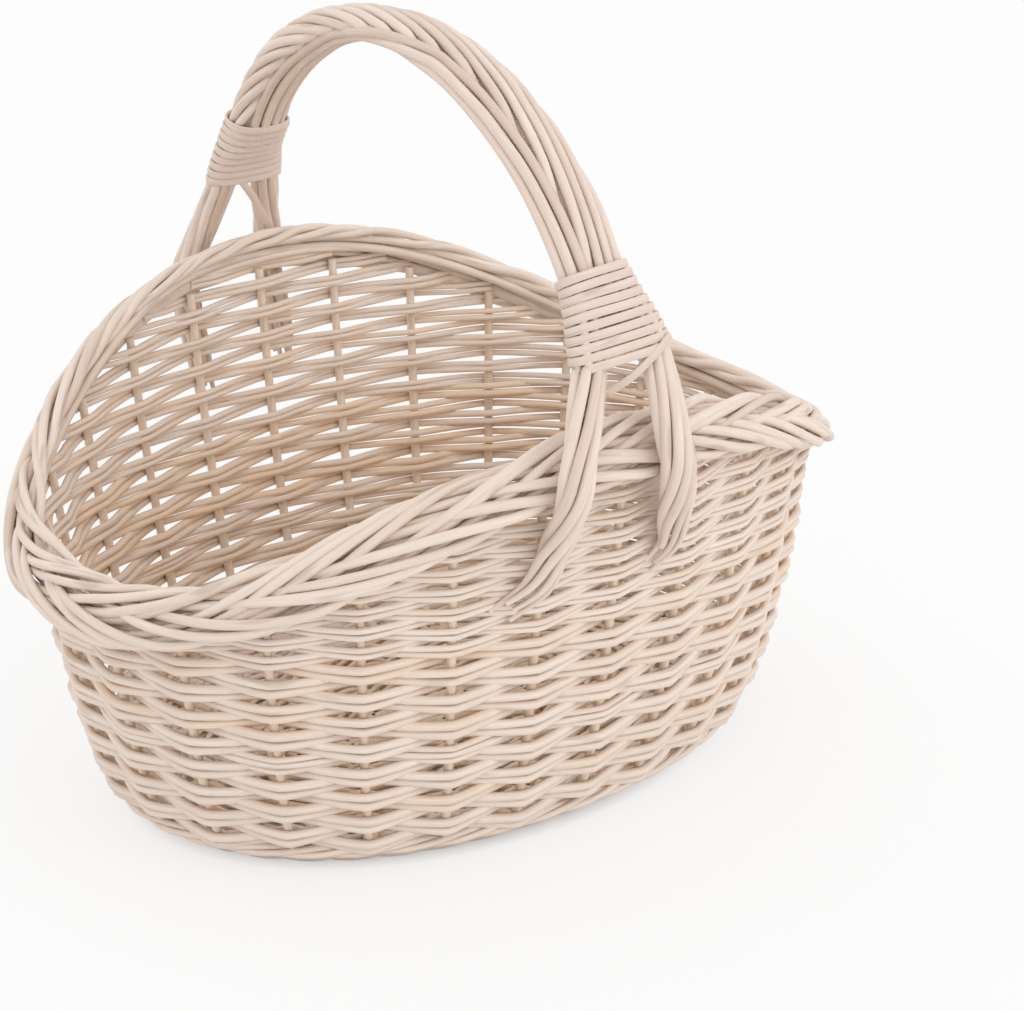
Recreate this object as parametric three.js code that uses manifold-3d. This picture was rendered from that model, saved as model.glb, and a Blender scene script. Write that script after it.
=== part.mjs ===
import * as THREE from 'three';
import ManifoldModule from 'manifold-3d';

// Wall: the centre surface of the weave, millimetres
const RIM_HALF_LENGTH = 166;
const RIM_HALF_WIDTH = 128;
const BASE_HALF_LENGTH = 123;
const BASE_HALF_WIDTH = 80;
const END_RIM_HEIGHT = 116.5;
const SIDE_RIM_HEIGHT = 178.5;
const RIM_RISE_POWER = 2.5;
const OVAL_POWER = 2.14;
const FLARE_POWER = 0.34;
const CLEARANCE = 0.35;

// Stakes
const STAKE_COUNT = 26;
const STAKE_RADIUS = 2;
const STAKE_SIDES = 5;
const STAKE_STEPS = 7;
const STAKE_STEP_POWER = 1.6;
const STAKE_LIFT = 7.5;
const STAKE_LEAD = 6;
const STAKE_BEND_SHARE = 0.25;
const STAKE_BEND_RISE = 0.5;
const STAKE_BEND_TOP = 14;
const STAKE_SEARCH_DEPTH = 16;
const STAKE_SEARCH_STEP = 0.25;

// Weaving bands, each a pair of rods lying one over the other
const BAND_HALF_HEIGHT = 2.7;
const BAND_HALF_THICKNESS = 1.3;
const BAND_FLAT_SHARE = 0.65;
const WEAVE_SLACK = 0.2;
const WEAVE_DEPTH = STAKE_RADIUS + BAND_HALF_THICKNESS + CLEARANCE + WEAVE_SLACK;
const ROW_COUNT = 15;
const ROW_PITCH = 6.05;
const FIRST_ROW_HEIGHT = 16.2;
const PACKING_TURN_OUT = 5.4;

// Plaited border
const BORDER_HALF_LENGTH = 170;
const BORDER_HALF_WIDTH = 132;
const BORDER_STRANDS = 3;
const BORDER_PITCHES = 7;
const BORDER_STEPS_PER_PITCH = 6;
const BORDER_SWING = 10.8;
const BORDER_CROSSING = 5.1;
const BORDER_STRAND_RADIUS = 3.15;
const BORDER_STRAND_SIDES = 6;
const BORDER_TILT = THREE.MathUtils.degToRad(35);
const BORDER_DROP = 12.5;

// Handle arch and its legs
const HANDLE_OFFSET = -5;
const ARCH_HALF_SPAN = 133;
const ARCH_SPRING_HEIGHT = 185;
const ARCH_RISE = 122.5;
const ARCH_SAG = 4.4;
const ARCH_STEPS = 44;
const HANDLE_STRANDS = 4;
const HANDLE_TURNS = 2;
const HANDLE_TWIST_START = 0.36;
const HANDLE_STRAND_RADIUS = 3.9;
const HANDLE_STRAND_SIDES = 6;
const HANDLE_LAY_RADIUS = 6.2;
const LEG_STEPS = 8;
const LEG_PAIR_HALF = 4.7;
const LEG_TIP_TAPER = 0.45;
const LEG_SHOULDER_RISE = 6;
const LEG_SHOULDER_DROP = 12;
const LEG_SETTLE_DROP = 34;
const LEG_WALL_REACH = 9;
const FORK_TURN = THREE.MathUtils.degToRad(55);
const SQUASH_FROM = 0.6;
const SQUASH_TO = 0.9;

// Near and far foot of the handle: size of the squashed bundle over it, and its two legs
const NEAR_FOOT = {
  end: -1,
  wide: 1.47,
  deep: 0.63,
  forkHalf: 15.5,
  left: { side: -1, shoulderX: -34, tipX: -47, tipZ: 119, borderReach: 14.2 },
  right: { side: 1, shoulderX: 9, tipX: 22, tipZ: 124, borderReach: 13.1 },
};
const FAR_FOOT = {
  end: 1,
  wide: 1.25,
  deep: 0.97,
  forkHalf: 11.1,
  left: { side: -1, shoulderX: -20, tipX: -30, tipZ: 122, borderReach: 14.2 },
  right: { side: 1, shoulderX: 15.5, tipX: 12, tipZ: 126, borderReach: 13.1 },
};

// Bindings wound round the handle feet
const BINDING_BOTTOM = 214;
const BINDING_TOP = 245;
const BINDING_LOOPS = 9;
const BINDING_STEPS_PER_LOOP = 12;
const BINDING_STEPS = 3;
const SKEIN_HALF_HEIGHT = 1.3;
const SKEIN_HALF_THICKNESS = 0.7;
const BINDING_MIN_GAP = 0.4;

// Foot wale under the bend of the stakes
const FOOT_STATIONS = 52;
const FOOT_INNER = -12;
const FOOT_INNER_UP = 5;
const FOOT_FLAT_FROM_BEND = -1;
const FOOT_TOP_FROM_BEND = 1.4;
const FOOT_BEND_UP = 5.5;
const FOOT_SHOULDER_FROM_WALL = -0.5;
const FOOT_SHOULDER_UP = 7;
const FOOT_LIP_FROM_WALL = 3.6;
const FOOT_LIP_UP = 11.2;
const FOOT_LIP_TOP_FROM_WALL = 2.6;
const FOOT_LIP_TOP_UP = 11.9;

// Base: crossed sticks and the flat rounds woven over and under them
const SLATH_HEIGHT = 7.4;
const SLATH_HALF_THICKNESS = 2;
const SLATH_HALF_WIDTH = 2.5;
const SLATH_INSET = 6.6;
const CROSS_STICKS = 5;
const CROSS_STICK_SPACING = 0.179 * BASE_HALF_LENGTH;
const LONG_STICKS = 3;
const LONG_STICK_SPACING = 8;
const FAN_START = 0.455 * BASE_HALF_LENGTH;
const FAN_SPREAD = 0.375 * BASE_HALF_WIDTH;
const BASE_ROWS = 4;
const BASE_ROW_PITCH = 11;
const BASE_ROW_INSET = 18;
const BASE_BAND_HALF_WIDTH = 5;
const BASE_BAND_HALF_THICKNESS = 1.1;
const BASE_WEAVE_DEPTH = SLATH_HALF_THICKNESS + BASE_BAND_HALF_THICKNESS + CLEARANCE;
const BASE_LONG_SPAN = 24;
const CROSSING_MARGIN = 1.2;

const ARC_SAMPLES = 2880;
const SMALL_ANGLE = 0.002;
const SMALL_HEIGHT = 0.1;
const FULL_TURN = 2 * Math.PI;
const UP = new THREE.Vector3(0, 0, 1);
const LENGTHWISE = new THREE.Vector3(1, 0, 0);

const WILLOW = {
  stake: new THREE.MeshStandardMaterial({ color: 0xd9c2aa, roughness: 0.75, metalness: 0 }),
  weaver: new THREE.MeshStandardMaterial({ color: 0xe6d3c3, roughness: 0.7, metalness: 0 }),
  border: new THREE.MeshStandardMaterial({ color: 0xe9d8ca, roughness: 0.65, metalness: 0 }),
  handle: new THREE.MeshStandardMaterial({ color: 0xe4d2c3, roughness: 0.65, metalness: 0 }),
  skein: new THREE.MeshStandardMaterial({ color: 0xe2cec2, roughness: 0.6, metalness: 0 }),
  base: new THREE.MeshStandardMaterial({ color: 0xd8c0a6, roughness: 0.8, metalness: 0 }),
};

const basket = new THREE.Group();
basket.name = 'wicker_basket';

/** Adds one named piece to the basket. */
function addPiece(name, geometry, material) {
  geometry.computeVertexNormals();
  const piece = new THREE.Mesh(geometry, material);
  piece.name = name;
  basket.add(piece);
}

/** Signed power, which keeps the sign of its base. */
function signedPower(base, power) {
  return Math.sign(base) * Math.abs(base) ** power;
}

/** Point of a superellipse at a parameter angle, at height zero. */
function ovalPoint(halfLength, halfWidth, angle) {
  const x = halfLength * signedPower(Math.cos(angle), 2 / OVAL_POWER);
  const y = halfWidth * signedPower(Math.sin(angle), 2 / OVAL_POWER);
  return new THREE.Vector3(x, y, 0);
}

/** Outward unit normal of a superellipse at a parameter angle. */
function ovalNormal(halfLength, halfWidth, angle) {
  const p = ovalPoint(halfLength, halfWidth, angle);
  const nx = signedPower(p.x / halfLength, OVAL_POWER - 1) / halfLength;
  const ny = signedPower(p.y / halfWidth, OVAL_POWER - 1) / halfWidth;
  return new THREE.Vector3(nx, ny, 0).normalize();
}

/** Parameter angle of the superellipse point with the given x on one long side. */
function ovalAngleAt(halfLength, x, side) {
  const c = signedPower(x / halfLength, OVAL_POWER / 2);
  return side * Math.acos(c);
}

function wallHalfLength(z) {
  return BASE_HALF_LENGTH + (RIM_HALF_LENGTH - BASE_HALF_LENGTH) * (z / END_RIM_HEIGHT) ** FLARE_POWER;
}

function wallHalfWidth(z) {
  return BASE_HALF_WIDTH + (RIM_HALF_WIDTH - BASE_HALF_WIDTH) * (z / SIDE_RIM_HEIGHT) ** FLARE_POWER;
}

/** Height of the border's centre line: low at the ends, high at the sides. */
function rimHeight(angle) {
  const rise = Math.abs(Math.sin(angle)) ** RIM_RISE_POWER;
  return END_RIM_HEIGHT + (SIDE_RIM_HEIGHT - END_RIM_HEIGHT) * rise;
}

/** Point of the wall's centre surface. */
function wallPoint(angle, z) {
  return ovalPoint(wallHalfLength(z), wallHalfWidth(z), angle).setZ(z);
}

/** Frame of the wall: its point, outward normal and direction up the slope. */
function wallFrame(angle, z) {
  const at = wallPoint(angle, z);
  const rise = wallPoint(angle, z + SMALL_HEIGHT).sub(at).normalize();
  const tangent = wallPoint(angle + SMALL_ANGLE, z).sub(wallPoint(angle - SMALL_ANGLE, z)).normalize();
  const outward = tangent.clone().cross(rise).normalize();
  const up = outward.clone().cross(tangent).normalize();
  return { at, outward, up };
}

/** Angles that divide the wall's girth into equal shares, starting at the middle of the far side. */
function girthAngles() {
  const z = END_RIM_HEIGHT;
  const angles = [Math.PI / 2];
  const lengths = [0];
  let before = wallPoint(angles[0], z);
  for (let k = 1; k <= ARC_SAMPLES; k += 1) {
    const angle = Math.PI / 2 + (FULL_TURN * k) / ARC_SAMPLES;
    const here = wallPoint(angle, z);
    angles.push(angle);
    lengths.push(lengths[k - 1] + here.distanceTo(before));
    before = here;
  }
  return { angles, lengths };
}

const GIRTH = girthAngles();

/** Parameter angle at a share of the girth. */
function angleAtShare(share) {
  const wanted = (share - Math.floor(share)) * GIRTH.lengths[ARC_SAMPLES];
  let k = 1;
  while (GIRTH.lengths[k] < wanted) {
    k += 1;
  }
  const part = (wanted - GIRTH.lengths[k - 1]) / (GIRTH.lengths[k] - GIRTH.lengths[k - 1]);
  return THREE.MathUtils.lerp(GIRTH.angles[k - 1], GIRTH.angles[k], part);
}

const STAKE_ANGLES = Array.from({ length: STAKE_COUNT }, (_, i) => angleAtShare(i / STAKE_COUNT));

/** Regular polygon section. */
function roundSection(radius, sides) {
  return Array.from({ length: sides }, (_, k) => {
    const turn = (FULL_TURN * k) / sides;
    return [radius * Math.cos(turn), radius * Math.sin(turn)];
  });
}

/** Flat six-sided section of a band, thin across and tall upward. */
function bandSection(halfThickness, halfHeight, flatShare) {
  const flat = halfHeight * flatShare;
  return [
    [0, halfHeight],
    [halfThickness, flat],
    [halfThickness, -flat],
    [0, -halfHeight],
    [-halfThickness, -flat],
    [-halfThickness, flat],
  ];
}

function boxSection(halfAcross, halfUp) {
  return [
    [halfAcross, halfUp],
    [halfAcross, -halfUp],
    [-halfAcross, -halfUp],
    [-halfAcross, halfUp],
  ];
}

/** Corner points of a section placed at one station, which may have its own size or section. */
function placeSection(station, section) {
  const size = station.size ?? 1;
  return (station.section ?? section).map(([a, b]) => {
    const p = station.at.clone();
    p.addScaledVector(station.across, a * size);
    return p.addScaledVector(station.up, b * size);
  });
}

/** Six times the signed volume of an indexed closed surface. */
function signedVolume(points, faces) {
  return faces.reduce((sum, [a, b, c]) => {
    return sum + points[a].dot(points[b].clone().cross(points[c]));
  }, 0);
}

/** Closed tube through the stations; a ring when closed, else with flat ends. */
function sweep(stations, section, closed) {
  const sides = section.length;
  const points = stations.flatMap((station) => placeSection(station, section));
  const faces = [];
  const last = closed ? stations.length : stations.length - 1;
  for (let i = 0; i < last; i += 1) {
    const here = i * sides;
    const next = ((i + 1) % stations.length) * sides;
    for (let k = 0; k < sides; k += 1) {
      const k1 = (k + 1) % sides;
      faces.push([here + k, next + k, next + k1], [here + k, next + k1, here + k1]);
    }
  }
  if (!closed) {
    const end = (stations.length - 1) * sides;
    for (let k = 1; k + 1 < sides; k += 1) {
      faces.push([0, k, k + 1], [end, end + k + 1, end + k]);
    }
  }
  const outward = signedVolume(points, faces) > 0;
  const order = outward ? faces : faces.map(([a, b, c]) => [a, c, b]);
  const geometry = new THREE.BufferGeometry();
  const flat = points.flatMap((p) => [p.x, p.y, p.z]);
  geometry.setAttribute('position', new THREE.Float32BufferAttribute(flat, 3));
  geometry.setIndex(order.flat());
  return geometry;
}

/** Station of a weaving band at a stake, in front of it (side 1) or behind it (side -1). */
function weaveStation(angle, z, side) {
  const frame = wallFrame(angle, z);
  const at = frame.at.addScaledVector(frame.outward, side * WEAVE_DEPTH);
  return { at, across: frame.outward, up: frame.up };
}

function weaveSide(count) {
  return count % 2 === 0 ? 1 : -1;
}

function rowHeight(row) {
  return FIRST_ROW_HEIGHT + row * ROW_PITCH;
}

const BAND_SECTION = bandSection(BAND_HALF_THICKNESS, BAND_HALF_HEIGHT, BAND_FLAT_SHARE);

/** One full round of weaving, in front of one stake and behind the next. */
function wovenRow(row) {
  const stations = STAKE_ANGLES.map((angle, i) => weaveStation(angle, rowHeight(row), weaveSide(i + row)));
  return sweep(stations, BAND_SECTION, true);
}

/** How many stakes from the middle of a side a band of the given row may reach under the border. */
function packingReach(row) {
  const needed = rowHeight(row) + BAND_HALF_HEIGHT + BORDER_DROP;
  let reach = -1;
  while (rimHeight(STAKE_ANGLES[reach + 1]) >= needed) {
    reach += 1;
  }
  return reach;
}

/** Serpentine of short rows that turns back round a stake at each end and fills one long side. */
function packing(middleStake) {
  const stations = [];
  let row = ROW_COUNT;
  let stake = -packingReach(row);
  let heading = 1;
  while (packingReach(row) > 0) {
    const above = packingReach(row + 1);
    const stop = heading * (above > 0 ? above : packingReach(row));
    for (; stake * heading <= stop * heading; stake += heading) {
      const index = (middleStake + stake + STAKE_COUNT) % STAKE_COUNT;
      const station = weaveStation(STAKE_ANGLES[index], rowHeight(row), weaveSide(index + row));
      station.across.multiplyScalar(heading);
      stations.push(station);
    }
    stake = stop;
    if (above > 0) {
      const index = (middleStake + stop + STAKE_COUNT) % STAKE_COUNT;
      const frame = wallFrame(STAKE_ANGLES[index], rowHeight(row) + ROW_PITCH / 2);
      const beyond = frame.up.clone().cross(frame.outward).multiplyScalar(heading);
      frame.at.addScaledVector(beyond, PACKING_TURN_OUT);
      const turned = beyond.multiplyScalar(heading * weaveSide(index + row));
      stations.push({ at: frame.at, across: turned, up: frame.up });
    }
    heading = -heading;
    row += 1;
  }
  return sweep(stations, BAND_SECTION, false);
}

/** Frame of the border: its centre, and the directions across the plait and through it. */
function borderFrame(share) {
  const angle = angleAtShare(share);
  const centre = (a) => ovalPoint(BORDER_HALF_LENGTH, BORDER_HALF_WIDTH, a).setZ(rimHeight(a));
  const along = centre(angle + SMALL_ANGLE).sub(centre(angle - SMALL_ANGLE)).normalize();
  const outward = ovalNormal(BORDER_HALF_LENGTH, BORDER_HALF_WIDTH, angle);
  const rise = outward.clone().cross(along).normalize();
  const across = rise.clone().multiplyScalar(Math.cos(BORDER_TILT));
  across.addScaledVector(outward, -Math.sin(BORDER_TILT));
  const through = outward.clone().multiplyScalar(Math.cos(BORDER_TILT));
  through.addScaledVector(rise, Math.sin(BORDER_TILT));
  return { at: centre(angle), across, through };
}

/** Stations of one strand of the three-strand plait, a closed ring that crosses the other two. */
function borderStations(strand) {
  const count = BORDER_PITCHES * BORDER_STEPS_PER_PITCH;
  return Array.from({ length: count }, (_, k) => {
    const frame = borderFrame(k / count);
    const phase = FULL_TURN * ((k + 1 / 2) / BORDER_STEPS_PER_PITCH + strand / BORDER_STRANDS);
    const at = frame.at.addScaledVector(frame.across, BORDER_SWING * Math.sin(phase));
    at.addScaledVector(frame.through, BORDER_CROSSING * Math.sin(2 * phase));
    return { at, across: frame.across, up: frame.through };
  });
}

const BORDER_PATHS = Array.from({ length: BORDER_STRANDS }, (_, strand) => borderStations(strand));

/** Distance from a point to the nearest border strand's centre line. */
function borderDistance(point) {
  const nearest = new THREE.Vector3();
  const segment = new THREE.Line3();
  let least = Infinity;
  for (const path of BORDER_PATHS) {
    path.forEach((station, k) => {
      segment.set(station.at, path[(k + 1) % path.length].at);
      segment.closestPointToPoint(point, true, nearest);
      least = Math.min(least, nearest.distanceTo(point));
    });
  }
  return least;
}

/** Height at which a stake's end meets the underside of the border. */
function stakeTop(angle) {
  const section = roundSection(STAKE_RADIUS, STAKE_SIDES);
  const limit = BORDER_STRAND_RADIUS + CLEARANCE;
  const clear = (z) => {
    const frame = wallFrame(angle, z);
    const station = { at: frame.at, across: frame.up.clone().cross(frame.outward), up: frame.outward };
    return placeSection(station, section).every((corner) => borderDistance(corner) > limit);
  };
  let z = rimHeight(angle) - STAKE_SEARCH_DEPTH;
  while (clear(z + STAKE_SEARCH_STEP)) {
    z += STAKE_SEARCH_STEP;
  }
  return z;
}

/** How far outside the base oval the wall stands where the stakes have bent up into it. */
function wallFlareOut(angle) {
  const edge = ovalPoint(BASE_HALF_LENGTH, BASE_HALF_WIDTH, angle);
  const outward = ovalNormal(BASE_HALF_LENGTH, BASE_HALF_WIDTH, angle);
  return wallPoint(angle, STAKE_BEND_TOP).sub(edge).dot(outward);
}

/** How far outside the base oval a stake turns from the base up into the wall. */
function stakeBendOut(angle) {
  return STAKE_BEND_SHARE * wallFlareOut(angle);
}

/** Stake that starts in the base, bends up over the foot wale and follows the wall to the border. */
function stake(angle) {
  const edge = ovalPoint(BASE_HALF_LENGTH, BASE_HALF_WIDTH, angle);
  const outward = ovalNormal(BASE_HALF_LENGTH, BASE_HALF_WIDTH, angle);
  const tangent = UP.clone().cross(outward);
  const path = [
    edge.clone().addScaledVector(outward, -STAKE_LEAD).setZ(STAKE_LIFT),
    edge.clone().addScaledVector(outward, stakeBendOut(angle)).setZ(STAKE_LIFT + STAKE_BEND_RISE),
  ];
  const top = stakeTop(angle);
  for (let k = 0; k <= STAKE_STEPS; k += 1) {
    const share = (k / STAKE_STEPS) ** STAKE_STEP_POWER;
    path.push(wallPoint(angle, THREE.MathUtils.lerp(STAKE_BEND_TOP, top, share)));
  }
  const stations = path.map((at, k) => {
    const before = path[Math.max(k - 1, 0)];
    const after = path[Math.min(k + 1, path.length - 1)];
    const along = after.clone().sub(before).normalize();
    return { at, across: tangent, up: tangent.clone().cross(along).normalize() };
  });
  return sweep(stations, roundSection(STAKE_RADIUS, STAKE_SIDES), false);
}

/** Point of the handle's centre line; the turn runs from the near foot to the far foot. */
function archPoint(turn) {
  const y = -ARCH_HALF_SPAN * Math.cos(turn);
  return new THREE.Vector3(HANDLE_OFFSET, y, ARCH_SPRING_HEIGHT + ARCH_RISE * Math.sin(turn));
}

function archNormal(turn) {
  return new THREE.Vector3(0, -ARCH_RISE * Math.cos(turn), ARCH_HALF_SPAN * Math.sin(turn)).normalize();
}

function archTurnAt(z) {
  return Math.asin((z - ARCH_SPRING_HEIGHT) / ARCH_RISE);
}

const BINDING_TOP_TURN = archTurnAt(BINDING_TOP);
const BINDING_BOTTOM_TURN = archTurnAt(BINDING_BOTTOM);
const PAIR_HALF = HANDLE_LAY_RADIUS / Math.SQRT2;

/** Share of the way between the squash of the near foot's bundle and that of the far one. */
function squashShare(share) {
  return THREE.MathUtils.smoothstep(share, SQUASH_FROM, SQUASH_TO);
}

/** How far the twisted bundle stands out of the arch at a share of its length. */
function archSag(share) {
  return -ARCH_SAG * Math.cos(Math.PI * share) * (1 - share ** 4);
}

/** Width and depth of the bundle inside a binding, as shares of the round bundle. */
function bundleSquash(share, foot) {
  return [THREE.MathUtils.lerp(foot.wide, 1, share), THREE.MathUtils.lerp(foot.deep, 1, share)];
}

/** Offset of a strand in the opening bundle inside a binding, from its top (share 0) to its fork. */
function bundleOffset(share, foot, side, outer) {
  const [wide, deep] = bundleSquash(share, foot);
  const middle = THREE.MathUtils.lerp(PAIR_HALF * foot.wide, foot.forkHalf, share);
  const turn = THREE.MathUtils.lerp(Math.PI / 2, FORK_TURN, share);
  const x = side * (middle - outer * PAIR_HALF * wide * Math.cos(turn));
  return [x, outer * PAIR_HALF * deep * Math.sin(turn)];
}

/** Turn along the arch inside a binding of one foot. */
function bindingTurn(share, foot) {
  const turn = THREE.MathUtils.lerp(BINDING_TOP_TURN, BINDING_BOTTOM_TURN, share);
  return foot.end < 0 ? turn : Math.PI - turn;
}

/** Middle of the bundle inside a binding of one foot. */
function bundleMiddle(share, foot) {
  const turn = bindingTurn(share, foot);
  const sag = archSag(foot.end < 0 ? 0 : 1) * (1 - share);
  return archPoint(turn).addScaledVector(archNormal(turn), sag);
}

/** Point held off an oval at a given x and height on one long side. */
function besideOval(halfLength, halfWidth, x, z, end, reach) {
  const angle = ovalAngleAt(halfLength, x, end);
  const outward = ovalNormal(halfLength, halfWidth, angle);
  return ovalPoint(halfLength, halfWidth, angle).addScaledVector(outward, reach).setZ(z);
}

/** Centre line of one leg from the fork over the border and down the wall to its tip. */
function legCurve(leg, foot) {
  const fork = bundleMiddle(1, foot).addScaledVector(LENGTHWISE, leg.side * foot.forkHalf);
  const high = SIDE_RIM_HEIGHT + LEG_SHOULDER_RISE;
  const low = SIDE_RIM_HEIGHT - LEG_SHOULDER_DROP;
  const settled = SIDE_RIM_HEIGHT - LEG_SETTLE_DROP;
  const lean = (z) => THREE.MathUtils.mapLinear(z, high, leg.tipZ, leg.shoulderX, leg.tipX);
  const rim = [BORDER_HALF_LENGTH, BORDER_HALF_WIDTH];
  const wall = (z) => [wallHalfLength(z), wallHalfWidth(z)];
  const onBorder = (z) => besideOval(...rim, lean(z), z, foot.end, leg.borderReach);
  const onWall = (z) => besideOval(...wall(z), lean(z), z, foot.end, LEG_WALL_REACH);
  const points = [fork, onBorder(high), onBorder(low), onWall(settled), onWall(leg.tipZ)];
  return new THREE.CatmullRomCurve3(points);
}

/** Stations of one strand down one leg, from the top of the binding to the tip. */
function legStations(leg, foot, outer) {
  const stations = [];
  for (let k = 1; k <= BINDING_STEPS; k += 1) {
    const share = k / BINDING_STEPS;
    const [x, lift] = bundleOffset(share, foot, leg.side, outer);
    const [wide, deep] = bundleSquash(share, foot);
    const normal = archNormal(bindingTurn(share, foot));
    const at = bundleMiddle(share, foot).addScaledVector(LENGTHWISE, x).addScaledVector(normal, lift);
    const across = LENGTHWISE.clone().multiplyScalar(wide);
    stations.push({ at, across, up: normal.multiplyScalar(deep) });
  }
  const curve = legCurve(leg, foot);
  for (let k = 1; k <= LEG_STEPS; k += 1) {
    const share = k / LEG_STEPS;
    const middle = curve.getPointAt(share);
    const angle = ovalAngleAt(RIM_HALF_LENGTH, middle.x, foot.end);
    const outward = ovalNormal(RIM_HALF_LENGTH, RIM_HALF_WIDTH, angle);
    const across = outward.clone().cross(UP).multiplyScalar(foot.end);
    const along = curve.getTangentAt(share);
    const up = across.clone().cross(along).multiplyScalar(foot.end).normalize();
    const turn = FORK_TURN * Math.max(0, 1 - 2 * share);
    const at = middle.addScaledVector(across, -leg.side * outer * LEG_PAIR_HALF * Math.cos(turn));
    at.addScaledVector(up, outer * LEG_PAIR_HALF * Math.sin(turn));
    stations.push({ at, across, up, size: k === LEG_STEPS ? LEG_TIP_TAPER : 1 });
  }
  return stations;
}

/** Turns of twist up to a share of the arch; it tightens from the near foot to the far one. */
function handleTwist(share) {
  const eased = THREE.MathUtils.lerp(share ** 2, share, HANDLE_TWIST_START);
  return HANDLE_TURNS * eased;
}

/** One handle strand: up a leg, twisted over the arch with the other strands, and down the other side. */
function handleStrand(strand) {
  const start = Math.PI / HANDLE_STRANDS + (FULL_TURN * strand) / HANDLE_STRANDS;
  const legSide = Math.cos(start) < 0 ? 'left' : 'right';
  const outer = Math.sign(Math.sin(start));
  const arch = Array.from({ length: ARCH_STEPS + 1 }, (_, k) => {
    const share = k / ARCH_STEPS;
    const turn = THREE.MathUtils.lerp(BINDING_TOP_TURN, Math.PI - BINDING_TOP_TURN, share);
    const lay = start - FULL_TURN * handleTwist(share);
    const normal = archNormal(turn);
    const across = LENGTHWISE.clone();
    across.multiplyScalar(THREE.MathUtils.lerp(NEAR_FOOT.wide, FAR_FOOT.wide, squashShare(share)));
    const up = normal.clone();
    up.multiplyScalar(THREE.MathUtils.lerp(NEAR_FOOT.deep, FAR_FOOT.deep, squashShare(share)));
    const at = archPoint(turn).addScaledVector(normal, archSag(share));
    at.addScaledVector(across, HANDLE_LAY_RADIUS * Math.cos(lay));
    at.addScaledVector(up, HANDLE_LAY_RADIUS * Math.sin(lay));
    return { at, across, up };
  });
  const nearLeg = legStations(NEAR_FOOT[legSide], NEAR_FOOT, outer).reverse();
  const farLeg = legStations(FAR_FOOT[legSide], FAR_FOOT, outer);
  const section = roundSection(HANDLE_STRAND_RADIUS, HANDLE_STRAND_SIDES);
  return sweep([...nearLeg, ...arch, ...farLeg], section, false);
}

/** Half axes of the oval that clears all four strands inside a binding. */
function bundleHalfAxes(share, foot) {
  const [squashWide, squashDeep] = bundleSquash(share, foot);
  const clear = CLEARANCE + SKEIN_HALF_THICKNESS;
  const reachWide = HANDLE_STRAND_RADIUS * squashWide + clear;
  const reachDeep = HANDLE_STRAND_RADIUS * squashDeep + clear;
  const centres = [bundleOffset(share, foot, 1, 1), bundleOffset(share, foot, 1, -1)];
  const wide = Math.max(...centres.map(([x]) => x)) + reachWide;
  const deep = Math.max(...centres.map(([, y]) => Math.abs(y))) + reachDeep;
  let scale = 1;
  for (const [x, y] of centres) {
    for (const [a, b] of roundSection(1, ARC_SAMPLES / STAKE_COUNT)) {
      scale = Math.max(scale, Math.hypot((x + a * reachWide) / wide, (y + b * reachDeep) / deep));
    }
  }
  const chord = Math.cos(Math.PI / BINDING_STEPS_PER_LOOP);
  return [(wide * scale) / chord, (deep * scale) / chord];
}

/** Stations of the skein wound down one handle foot. */
function bindingStations(foot) {
  const count = BINDING_LOOPS * BINDING_STEPS_PER_LOOP;
  return Array.from({ length: count + 1 }, (_, k) => {
    const share = k / count;
    const [halfWide, halfDeep] = bundleHalfAxes(share, foot);
    const wind = (FULL_TURN * k) / BINDING_STEPS_PER_LOOP;
    const normal = archNormal(bindingTurn(share, foot));
    const across = LENGTHWISE.clone().multiplyScalar(Math.cos(wind) * halfWide);
    across.addScaledVector(normal, Math.sin(wind) * halfDeep);
    const at = bundleMiddle(share, foot).add(across);
    return { at, across: across.normalize(), up: normal.clone().cross(LENGTHWISE) };
  });
}

const SKEIN_SECTION = boxSection(SKEIN_HALF_THICKNESS, SKEIN_HALF_HEIGHT);

/** Least distance between the corner points of one winding's loops. */
function leastLoopGap(stations) {
  const rings = stations.map((station) => placeSection(station, SKEIN_SECTION));
  const apart = BINDING_STEPS_PER_LOOP / 2;
  let least = Infinity;
  rings.forEach((ring, i) => {
    const end = Math.min(rings.length, i + 2 * BINDING_STEPS_PER_LOOP);
    for (let j = i + apart; j < end; j += 1) {
      for (const p of ring) {
        least = Math.min(least, ...rings[j].map((q) => p.distanceTo(q)));
      }
    }
  });
  return least;
}

/** Section of the foot wale at one place round the base: floor side first, then up to the lip. */
function footSection(angle) {
  const bend = stakeBendOut(angle);
  const wall = wallFlareOut(angle);
  return [
    [FOOT_INNER, 0],
    [bend + FOOT_FLAT_FROM_BEND, 0],
    [wall + FOOT_SHOULDER_FROM_WALL, FOOT_SHOULDER_UP],
    [wall + FOOT_LIP_FROM_WALL, FOOT_LIP_UP],
    [wall + FOOT_LIP_TOP_FROM_WALL, FOOT_LIP_TOP_UP],
    [bend + FOOT_TOP_FROM_BEND, FOOT_BEND_UP],
    [FOOT_INNER, FOOT_INNER_UP],
  ];
}

/** Foot wale: a ring under the bend of the stakes, flat where it stands on the floor. */
function footWale() {
  const stations = Array.from({ length: FOOT_STATIONS }, (_, k) => {
    const angle = angleAtShare(k / FOOT_STATIONS);
    const at = ovalPoint(BASE_HALF_LENGTH, BASE_HALF_WIDTH, angle);
    const across = ovalNormal(BASE_HALF_LENGTH, BASE_HALF_WIDTH, angle);
    return { at, across, up: UP, section: footSection(angle) };
  });
  return sweep(stations, footSection(0), true);
}

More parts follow.
